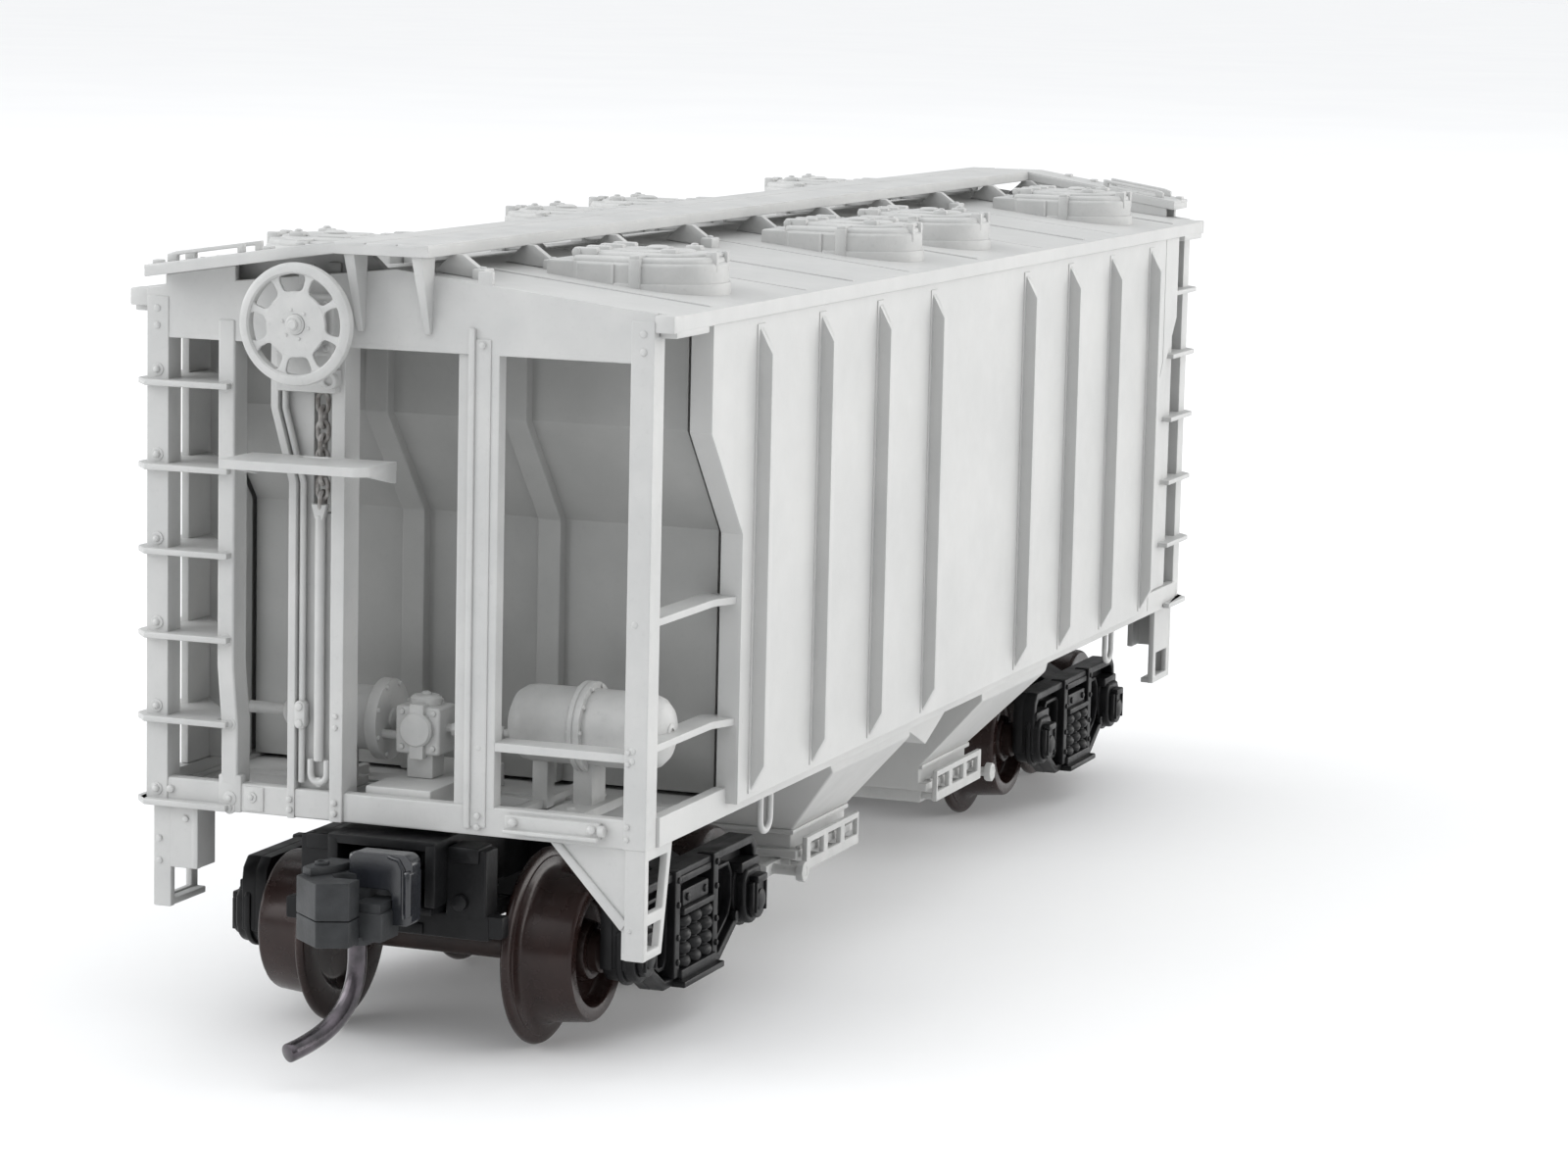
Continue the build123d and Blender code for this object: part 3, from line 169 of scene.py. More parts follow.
class Shape:
    """Closed shells in millimetres that make up one piece."""

    def __init__(self):
        self.verts = []
        self.faces = []

    def add(self, shell, matrix=None, copied=False):
        base = len(self.verts)
        verts, faces = shell
        if not copied:
            shift = nudge()
            verts = [v + shift for v in verts]
        flip = matrix is not None and matrix.determinant() < 0
        self.verts += [matrix @ v for v in verts] if matrix is not None else verts
        for face in faces:
            row = [base + i for i in face]
            self.faces.append(row[::-1] if flip else row)
        return self

    def join(self, other, matrix=None):
        return self.add((other.verts, other.faces), matrix, True)

    def prism(self, corners, step, bevel=0.05, holes=(), segments=2):
        """A straight prism from a flat polygon in space, with holes through it."""
        bm = bmesh.new()
        step = Vector(step)
        loops = [[Vector(c) for c in corners]] + [[Vector(c) for c in hole] for hole in holes]
        rings = []
        for loop in loops:
            low = [bm.verts.new(c) for c in loop]
            high = [bm.verts.new(c + step) for c in loop]
            rings.append((low, high))
            for i in range(len(loop)):
                j = (i + 1) % len(loop)
                bm.faces.new((low[i], low[j], high[j], high[i]))
        if holes:
            flat_low = [v for low, high in rings for v in low]
            flat_high = [v for low, high in rings for v in high]
            for tri in tessellate_polygon(loops):
                bm.faces.new([flat_low[i] for i in tri])
                bm.faces.new([flat_high[i] for i in tri])
        else:
            bm.faces.new(rings[0][0])
            bm.faces.new(rings[0][1])
        return self.add(shell_of(bm, bevel, segments))

    def block(self, x0, x1, y0, y1, z0, z1, bevel=0.05, segments=2):
        ring = [(x0, y0, z0), (x1, y0, z0), (x1, y1, z0), (x0, y1, z0)]
        return self.prism(ring, (0, 0, z1 - z0), bevel, (), segments)

    def loft(self, rings, bevel=0.05):
        """A closed shell through rings that have the same number of corners."""
        bm = bmesh.new()
        loops = [[bm.verts.new(p) for p in ring] for ring in rings]
        for one, two in zip(loops, loops[1:]):
            for k in range(len(one)):
                n = (k + 1) % len(one)
                bm.faces.new((one[k], one[n], two[n], two[k]))
        bm.faces.new(loops[0])
        bm.faces.new(loops[-1])
        return self.add(shell_of(bm, bevel))

    def prism_x(self, points, x0, x1, bevel=0.05, holes=(), segments=2):
        cut = [[(x0, y, z) for y, z in hole] for hole in holes]
        return self.prism([(x0, y, z) for y, z in points], (x1 - x0, 0, 0), bevel, cut, segments)

    def prism_y(self, points, y0, y1, bevel=0.05, holes=(), segments=2):
        cut = [[(x, y0, z) for x, z in hole] for hole in holes]
        return self.prism([(x, y0, z) for x, z in points], (0, y1 - y0, 0), bevel, cut, segments)

    def prism_z(self, points, z0, z1, bevel=0.05, holes=(), segments=2):
        cut = [[(x, y, z0) for x, y in hole] for hole in holes]
        return self.prism([(x, y, z0) for x, y in points], (0, 0, z1 - z0), bevel, cut, segments)

    def lathe(self, profile, origin, axis, sides=64, bevel=0.0, closed=False):
        """A turned shape: profile is (radius, distance along the axis); closed profiles make rings."""
        bm = bmesh.new()
        rings = []
        for radius, along in profile:
            if radius < 1e-6:
                rings.append([bm.verts.new((0, 0, along))])
            else:
                rings.append([bm.verts.new((radius * math.cos(math.tau * k / sides),
                                            radius * math.sin(math.tau * k / sides), along))
                              for k in range(sides)])
        pairs = list(zip(rings, rings[1:]))
        if closed:
            pairs.append((rings[-1], rings[0]))
        for one, two in pairs:
            for k in range(sides):
                n = (k + 1) % sides
                quad = [one[k % len(one)], one[n % len(one)], two[n % len(two)], two[k % len(two)]]
                corners = list(dict.fromkeys(quad))
                if len(corners) > 2:
                    bm.faces.new(corners)
        if not closed:
            for ring in (rings[0], rings[-1]):
                if len(ring) > 2:
                    bm.faces.new(ring)
        return self.add(shell_of(bm, bevel), to_axis(origin, axis))

    def collar(self, bore, radius, height, origin, axis, sides, bevel=0.0):
        """A plain ring with a square section."""
        section = [(bore, 0), (radius, 0), (radius, height), (bore, height)]
        return self.lathe(section, origin, axis, sides, bevel, True)

    def rod(self, start, end, radius, sides=24):
        axis = Vector(end) - Vector(start)
        return self.lathe([(radius, 0), (radius, axis.length)], start, axis, sides, 0.04)

    def tube(self, points, radius, sides=14, closed=False, bevel=0.03):
        """A round tube through points, with capped ends unless it is closed."""
        pts = [Vector(p) for p in points]
        count = len(pts)
        bm = bmesh.new()
        rings = []
        normal = None
        for i, p in enumerate(pts):
            ahead = pts[(i + 1) % count] if closed or i < count - 1 else p
            behind = pts[i - 1] if closed or i > 0 else p
            tangent = (ahead - behind).normalized()
            if normal is None:
                normal = tangent.orthogonal().normalized()
            normal = (normal - tangent * normal.dot(tangent)).normalized()
            side = tangent.cross(normal)
            rings.append([bm.verts.new(p + radius * (normal * math.cos(math.tau * k / sides)
                                                     + side * math.sin(math.tau * k / sides)))
                          for k in range(sides)])
        for i in range(count if closed else count - 1):
            one, two = rings[i], rings[(i + 1) % count]
            for k in range(sides):
                n = (k + 1) % sides
                bm.faces.new((one[k], one[n], two[n], two[k]))
        if not closed:
            bm.faces.new(rings[0])
            bm.faces.new(rings[-1])
        return self.add(shell_of(bm, 0 if closed else bevel))

    def bolt(self, point, normal, radius=0.13, height=0.09, washer=0.0):
        """A rounded bolt head, with a thin washer under it where washer is its radius."""
        dome = [(radius, -0.05), (radius, height * 0.45), (radius * 0.86, height * 0.8)]
        dome += [(radius * 0.5, height), (0, height * 1.04)]
        self.lathe(dome, point, normal, 12)
        if washer:
            plate = [(washer, -0.05), (washer, 0.035), (washer * 0.92, 0.05), (0, 0.05)]
            self.lathe(plate, point, normal, 16)
        return self


def arc(cx, cy, radius, start, end, steps):
    """Points on an arc, in degrees."""
    return [(cx + radius * math.cos(math.radians(start + (end - start) * k / steps)),
             cy + radius * math.sin(math.radians(start + (end - start) * k / steps)))
            for k in range(steps + 1)]


def piece(name, shape, body, material, nodes=(), turn=None):
    """Makes the Blender object of a shape, rides it on its body and hides the imported parts it stands for.
    """
    verts = [turn @ v if turn is not None else v for v in shape.verts]
    mesh = bpy.data.meshes.new(name)
    mesh.from_pydata([tuple(v * MM) for v in verts], [], shape.faces)
    mesh.update()
    mesh.polygons.foreach_set("use_smooth", [True] * len(mesh.polygons))
    mesh.set_sharp_from_angle(angle=SMOOTH_ANGLE)
    mesh.materials.append(material)
    obj = bpy.data.objects.new(name, mesh)
    bpy.context.scene.collection.objects.link(obj)
    weighted = obj.modifiers.new("weighted_normals", "WEIGHTED_NORMAL")
    weighted.keep_sharp = True
    weighted.weight = 60
    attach(obj, body)
    if nodes:
        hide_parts(*nodes)
    return obj


def both_ends(name, shape, body, material, nodes=()):
    """A piece at the B end and the same piece turned to the A end."""
    for end, turn in (("b", None), ("a", HALF_TURN)):
        here = body if body == "car_body" else body + "_" + end
        piece(name + "_" + end, shape, here, material, [n + "_" + end for n in nodes], turn)


def twice(shape):
    """A B end shape together with its turned copy."""
    return Shape().join(shape).join(shape, HALF_TURN)


def body_piece(name, shape, material, cad_node):
    return piece(name, shape, "car_body", material, [cad_node])


# ---------------------------------------------------------------- materials
def node(tree, kind, options=(), **inputs):
    """Adds a shader node; _ in an input's name is a space, and its value may be another node's socket."""
    made = tree.nodes.new("ShaderNode" + kind)
    for key, value in dict(options).items():
        setattr(made, key, value)
    feed(tree, made, **inputs)
    return made


def feed(tree, target, **inputs):
    for key, value in inputs.items():
        socket = target.inputs[key.replace("_", " ")]
        if isinstance(value, bpy.types.NodeSocket):
            tree.links.new(value, socket)
        else:
            socket.default_value = value


def finish_material(name, dark, light, rough, rough_span, grain, bump, mottle=2.2, metallic=0.0,
                    coat=0.0, specular=0.5, speck=0.0):
    """A moulded or painted surface: mottled colour, uneven gloss and a fine grain, sized in mm."""
    material = bpy.data.materials.new(name)
    material.use_nodes = True
    tree = material.node_tree
    shader = tree.nodes["Principled BSDF"]
    place = node(tree, "TexCoord").outputs["Object"]
    place = node(tree, "Mapping", Scale=(1 / MM, 1 / MM, 1 / MM), Vector=place).outputs["Vector"]

    def noise(scale, detail, roughness=0.55):
        made = node(tree, "TexNoise", Scale=scale, Detail=detail, Roughness=roughness, Vector=place)
        return made.outputs["Fac"]

    def ramp(factor, low, low_colour, high, high_colour):
        made = node(tree, "ValToRGB", Fac=factor)
        for stop, position, colour in zip(made.color_ramp.elements, (low, high), (low_colour, high_colour)):
            stop.position = position
            stop.color = (*colour, 1)
        return made.outputs["Color"]

    colour = ramp(noise(1.0 / mottle, 5.0), 0.34, dark, 0.66, light)
    if speck:
        dots = ramp(noise(5.0, 2.0), 0.2, (1 - speck,) * 3, 0.42, (1, 1, 1))
        multiply = {"data_type": "RGBA", "blend_type": "MULTIPLY"}
        colour = node(tree, "Mix", multiply, Factor=1.0, A=colour, B=dots).outputs["Result"]
    span = node(tree, "MapRange", From_Min=0.3, From_Max=0.7, To_Min=rough - rough_span,
                To_Max=rough + rough_span, Value=noise(0.9, 4.0))
    relief = node(tree, "Bump", Strength=0.5, Distance=bump * MM, Height=noise(1.0 / grain, 4.0, 0.6))
    feed(tree, shader, Metallic=metallic, Coat_Weight=coat, Coat_Roughness=0.25, Specular_IOR_Level=specular,
         Base_Color=colour, Roughness=span.outputs["Result"], Normal=relief.outputs["Normal"])
    return material


GREY = finish_material("grey_satin_paint", (0.480, 0.483, 0.478), (0.530, 0.530, 0.522), 0.46, 0.07, 0.16,
                       0.012, speck=0.05)
GREY_SHEET = finish_material("grey_body_paint", (0.492, 0.494, 0.488), (0.530, 0.530, 0.522), 0.42, 0.06,
                             0.2, 0.008, mottle=4.0, speck=0.03)
GREY_CAST = finish_material("grey_detail_paint", (0.460, 0.463, 0.457), (0.522, 0.522, 0.514), 0.5, 0.08,
                            0.13, 0.016, mottle=1.2, speck=0.08)
# a darker copy of the body grey for the bulkheads: painted shade for the light that the end cage and roof
# keep off them
GREY_PAINTED_SHADE = finish_material("grey_bulkhead_painted_shade", (0.345, 0.347, 0.340), (0.385, 0.386, 0.378), 0.5, 0.06,
                              0.2, 0.01, mottle=3.0, speck=0.04)
CHAIN = finish_material("chain_brown_wash", (0.11, 0.095, 0.085), (0.42, 0.41, 0.40), 0.55, 0.1, 0.12, 0.02,
                        mottle=0.45)
BLACK = finish_material("black_moulded_plastic", (0.0055, 0.0056, 0.0062), (0.011, 0.0112, 0.012), 0.4, 0.09,
                        0.2, 0.02, mottle=1.4, specular=0.22)
COUPLER = finish_material("coupler_grey_plastic", (0.025, 0.0265, 0.028), (0.038, 0.040, 0.0425), 0.48, 0.08,
                          0.13, 0.02, mottle=0.8, specular=0.3)
GUARD = finish_material("coupler_guard_plastic", (0.010, 0.011, 0.014), (0.020, 0.022, 0.027), 0.19, 0.05,
                        0.2, 0.006, mottle=1.0, coat=0.5)
WHEEL = finish_material("wheel_brown_metal", (0.017, 0.0088, 0.0078), (0.028, 0.0150, 0.0132), 0.27, 0.06,
                        0.14, 0.006, mottle=1.6, metallic=0.15, specular=0.36)
AXLE = finish_material("axle_brown_plastic", (0.015, 0.0085, 0.0075), (0.027, 0.0155, 0.0135), 0.4, 0.08,
                       0.16, 0.012, mottle=1.0, specular=0.3)
PIN = finish_material("pin_bronze_steel", (0.022, 0.019, 0.023), (0.085, 0.070, 0.084), 0.17, 0.05, 0.12,
                      0.008, mottle=0.5, metallic=0.8, coat=0.8)
STEEL = finish_material("plain_steel", (0.30, 0.30, 0.31), (0.42, 0.42, 0.43), 0.34, 0.08, 0.12, 0.01,
                        mottle=0.8, metallic=1.0)


# ---------------------------------------------------------------- roof and running board
def roof_shape():
    shape = Shape()
    inner = SHEET_Y - SHEET_THICK
    outline = [(-EAVE_Y, FASCIA_Z), (-EAVE_Y, EAVE_Z), (0, roof_z(0)), (EAVE_Y, EAVE_Z), (EAVE_Y, FASCIA_Z)]
    outline += [(inner, FASCIA_Z), (inner, roof_z(SHEET_Y) - ROOF_THICK), (0, roof_z(0) - ROOF_THICK)]
    outline += [(-inner, roof_z(SHEET_Y) - ROOF_THICK), (-inner, FASCIA_Z)]
    shape.prism_x(outline, -END_X + 0.3, END_X - 0.3, 0.07)
    ridges = ((-29.2, -14.8, 0.0, 14.8, 29.2), EAVE_Y - 0.35, 0.06, 0.07, 0.1, 0.03)
    laps = ((-20.0, -8.6, 8.6, 20.0), EAVE_Y - 0.3, 0.025, 0.025, 0.04, 0.015)
    for places, far, rise_far, rise_near, half, bevel in (ridges, laps):
        for x in places:
            for side in (-1, 1):
                seam = [(side * 0.1, roof_z(0.1) - 0.05), (side * far, roof_z(far) - 0.05)]
                seam += [(side * far, roof_z(far) + rise_far), (side * 0.1, roof_z(0.1) + rise_near)]
                shape.prism_x(seam, x - half, x + half, bevel)
    return shape


def roof_end_shape():
    """The eave blocks and the small tabs on the roof's edge at the B end."""
    shape = Shape()
    x = -END_X
    for side in (-1, 1):
        shape.block(x + 0.02, x + 0.9, side * 9.35, side * EAVE_Y, FASCIA_Z - 0.02, EAVE_Z + 0.02, 0.06)
        shape.block(x + 0.35, x + 3.3, side * 9.55, side * (EAVE_Y - 0.02), FASCIA_Z - 0.22, FASCIA_Z + 0.1,
                    0.06)
    for y in (-3.3, 3.4):
        z = roof_z(y)
        shape.block(x, x + 0.22, y - 0.28, y + 0.28, z - 0.35, z + 0.42, 0.05)
    return shape


def board_shape():
    shape = Shape()
    low = BOARD_TOP_Z - BOARD_THICK
    top = BOARD_TOP_Z - 0.05
    shape.block(-BOARD_END_X, BOARD_END_X, -BOARD_HALF, BOARD_HALF, low, top, 0.05)
    for k in range(3):
        y0 = -BOARD_HALF + k * 2 * BOARD_HALF / 3
        shape.block(-BOARD_END_X, BOARD_END_X, y0 + 0.02, y0 + 2 * BOARD_HALF / 3 - 0.02, top - 0.1,
                    BOARD_TOP_Z, 0.03)
    for x in (-24.0, -12.0, 0.0, 12.0, 24.0):
        for y in (-1.2, 0.0, 1.2):
            for dx in (-0.3, 0.3):
                shape.bolt((x + dx, y, BOARD_TOP_Z - 0.02), Z_AXIS, 0.1, 0.02)
    return shape


def lateral_shape():
    """The B end's lateral board, with its planks and its corner grab."""
    shape = Shape()
    x0 = -BOARD_END_X
    inner = BOARD_HALF - 0.05
    end = LATERAL_END_Y
    outline = [(inner, lateral_z(inner)), (end, lateral_z(end)), (end, lateral_z(end) - BOARD_THICK)]
    outline += [(inner, lateral_z(inner) - BOARD_THICK)]
    shape.prism_x([(y, z - 0.05) for y, z in outline[:2]] + outline[2:], x0, x0 + 2.3, 0.05)
    for k in range(2):
        a = x0 + 0.02 + k * 1.15
        plank = outline[:2] + [(end, lateral_z(end) - 0.15), (inner, lateral_z(inner) - 0.15)]
        shape.prism_x(plank, a, a + 1.11, 0.03)
    bar = [(8.35, 0.02), (8.35, 0.3), (8.0, 0.36), (5.4, 0.36), (5.4, 0.02), (5.65, 0.02), (5.65, 0.22)]
    bar += [(7.95, 0.22), (7.95, 0.02)]
    bar = [(y, lateral_z(y) + lift - 0.03) for y, lift in bar]
    for x in (x0 + 0.45, x0 + 1.75):
        shape.prism_x(bar, x, x + 0.23, 0.04)
    for y in (8.8, 4.55, 3.3):
        shape.block(x0 + 0.5, x0 + 0.9, y - 0.16, y + 0.16, lateral_z(y) - 0.05, lateral_z(y) + 0.12, 0.04)
    support = [(BOARD_HALF, lateral_z(BOARD_HALF) - BOARD_THICK + 0.02),
               (8.6, lateral_z(8.6) - BOARD_THICK + 0.02)]
    support += [(8.6, roof_z(8.6)), (BOARD_HALF, roof_z(BOARD_HALF))]
    shape.prism_x(support, x0 + 2.1, x0 + 2.25, 0.03)
    for y in (3.0, 7.0):
        for x in (x0 + 0.55, x0 + 1.7):
            shape.bolt((x, y, lateral_z(y) - 0.02), Z_AXIS, 0.1, 0.03)
    return shape


def support_shape():
    """Saddles across the ridge with upturned tabs, and the tapered end brackets."""
    shape = Shape()
    low = BOARD_TOP_Z - BOARD_THICK
    for x in SADDLE_X:
        for side in (-1, 1):
            leg = [(side * 0.9, roof_z(0.9)), (side * 1.6, low + 0.02), (side * 2.0, low + 0.02),
                   (side * 2.75, roof_z(2.75) + 0.3), (side * 2.75, roof_z(2.75) + 0.01)]
            shape.prism_x(leg, x - 0.17, x + 0.17, 0.05)
            shape.block(x - 0.42, x + 0.42, side * 2.45, side * 2.95, roof_z(2.7) - 0.1, roof_z(2.7) + 0.36,
                        0.07)
            shape.bolt((x, side * 2.7, roof_z(2.7) + 0.36), Z_AXIS, 0.12, 0.07)
    for end in (-1, 1):
        face = end * END_X
        for y in (-1.25, 1.25):
            foot_z = LINTEL_Z + 0.6
            back, front, toe = face - end * 0.02, end * (BOARD_END_X - 0.12), face + end * 0.16
            shape.loft([[(back, y - 0.2, low), (front, y - 0.2, low), (front, y + 0.2, low),
                         (back, y + 0.2, low)],
                        [(back, y - 0.12, foot_z), (toe, y - 0.12, foot_z), (toe, y + 0.12, foot_z),
                         (back, y + 0.12, foot_z)]], 0.04)
            shape.bolt((face + end * 0.13, y - 0.02, LINTEL_Z + 0.85), (end, 0, 0), 0.11, 0.08)
    return shape


def hatch_shape(x0):
    """One hatch on the right side: round-ended coaming, two-step lid, hinges, straps and dogs."""
    shape = Shape()
    base = EAVE_Z - 0.3
    centre_y = 6.4
    top = roof_z(centre_y) + 1.0
    radius = 2.4

    def plan(smaller, inner_y):
        r = radius - smaller
        return ([(x0 - r, -inner_y)] + arc(x0, -centre_y, r, 180, 360, 28) + [(x0 + r, -inner_y)])

    shape.prism_z(plan(0.0, 4.1), base, top - 0.12, 0.14, (), 3)
    shape.prism_z(plan(-0.08, 5.62), base, roof_z(centre_y) + 0.16, 0.05)
    shape.prism_z(plan(0.1, 4.0), top - 0.3, top + 0.06, 0.14, (), 3)
    shape.prism_z(plan(0.55, 4.5), top - 0.1, top + 0.17, 0.12, (), 3)
    shape.prism_z(plan(1.15, 5.3), top, top + 0.23, 0.08, (), 2)
    shape.block(x0 - 2.3, x0 + 2.3, -4.3, -3.0, base, roof_z(3.0) + 0.5, 0.1)
    shape.block(x0 - 2.36, x0 + 2.36, -5.55, -4.05, base, top - 0.16, 0.06)
    for side in (-1, 1):
        edge = x0 + side * radius
        shape.block(edge - side * 0.25, edge + side * 0.14, -6.62, -6.2, base, top + 0.02, 0.05)
        shape.block(edge - side * 0.25, edge + side * 0.06, -5.62, -5.5, base, top - 0.2, 0.03)
        shape.block(edge - side * 0.9, edge + side * 0.1, -6.6, -6.22, top - 0.06, top + 0.14, 0.05)
    for dx in (-1.75, -0.6, 0.6, 1.75):
        shape.block(x0 + dx - 0.2, x0 + dx + 0.2, -4.75, -3.85, top - 0.5, top + 0.3, 0.08)
        shape.rod((x0 + dx - 0.26, -4.0, top + 0.12), (x0 + dx + 0.26, -4.0, top + 0.12), 0.17, 14)
    shape.rod((x0 - 1.9, -4.0, top + 0.12), (x0 + 1.9, -4.0, top + 0.12), 0.09, 12)
    dy = -7.2
    for dx in (-1.15, 1.15):
        shape.block(x0 + dx - 0.22, x0 + dx + 0.22, dy - 0.3, dy + 0.3, top, top + 0.34, 0.08)
        shape.bolt((x0 + dx, dy, top + 0.33), Z_AXIS, 0.14, 0.09)
    for dx in (-0.5, 0.5):
        shape.block(x0 + dx - 0.13, x0 + dx + 0.13, -8.75, -8.3, top - 0.5, top + 0.24, 0.06)
    shape.rod((x0 - 0.62, -8.5, top + 0.12), (x0 + 0.62, -8.5, top + 0.12), 0.1, 12)
    shape.lathe([(0.42, -0.1), (0.42, 0.1), (0.3, 0.16), (0, 0.18)], (x0, -6.3, top + 0.2), Z_AXIS, 20)
    return shape


def hatches_shape(side):
    shape = Shape()
    for distance in HATCH_X:
        for x in (-distance, distance):
            shape.join(hatch_shape(x), MIRROR_Y if side > 0 else None)
    return shape


# ---------------------------------------------------------------- body sides and ends
def side_shape():
    """The right side sheet with its corner plates, ribs, weld seams and sill."""
    shape = Shape()
    face = -SHEET_Y
    outline = [(-SHEET_TOP_X, FASCIA_Z + 0.05), (-SHEET_TOP_X, CRANK_TOP_Z), (-SHEET_LOW_X, CRANK_LOW_Z)]
    outline += [(-SHEET_LOW_X, SHEET_LOW_Z), (SHEET_LOW_X, SHEET_LOW_Z), (SHEET_LOW_X, CRANK_LOW_Z)]
    outline += [(SHEET_TOP_X, CRANK_TOP_Z), (SHEET_TOP_X, FASCIA_Z + 0.05)]
    shape.prism_y(outline, face, face + SHEET_THICK, 0.05)
    for end in (-1, 1):
        edge = [(end * SHEET_TOP_X, FASCIA_Z + 0.05), (end * SHEET_TOP_X, CRANK_TOP_Z),
                (end * SHEET_LOW_X, CRANK_LOW_Z)]
        edge.append((end * SHEET_LOW_X, SHEET_LOW_Z + 0.15))
        lip = edge + [(x - end * 0.5, z) for x, z in reversed(edge)]
        shape.prism_y(lip, face + 0.02, face + EDGE_LIP, 0.03)
        plate = [(end * (SHEET_TOP_X - 0.02), FASCIA_Z), (end * (SHEET_TOP_X - 0.02), CRANK_TOP_Z),
                 (end * (SHEET_LOW_X - 0.02), CRANK_LOW_Z), (end * (SHEET_LOW_X - 0.02), SHEET_LOW_Z),
                 (end * 26.2, SHEET_LOW_Z), (end * 26.2, CRANK_LOW_Z), (end * 27.4, CRANK_TOP_Z - 1.9),
                 (end * 27.4, FASCIA_Z)]
        shape.prism_y(plate, face - 0.04, face + 0.1, 0.02)
        for k in range(4):
            x = end * (RIB_OUTER_X - k * RIB_PITCH)
            low = SHEET_LOW_Z + 0.1
            rib = [(x, face + 0.05, low), (x, face - 0.55, low + 1.1), (x, face - 0.55, FASCIA_Z - 1.3),
                   (x, face + 0.05, FASCIA_Z - 0.2)]
            shape.prism(rib, (-end * 0.4, 0, 0), 0.05)
            shape.block(x + end * 0.16, x - end * 0.56, face - 0.05, face + 0.1, low + 0.1, FASCIA_Z - 0.25,
                        0.02)
        sill_end = END_X - POST_DEPTH
        shape.block(end * sill_end, end * (SHEET_LOW_X - 0.1), -POST_Y - 0.12, -POST_Y + 0.35, SILL_Z,
                    SILL_TOP_Z, 0.06)
    shape.block(-END_X + POST_DEPTH, END_X - POST_DEPTH, -POST_Y - 0.12, -POST_Y + 0.45, SILL_Z,
                SHEET_LOW_Z + 0.15, 0.06)
    return shape


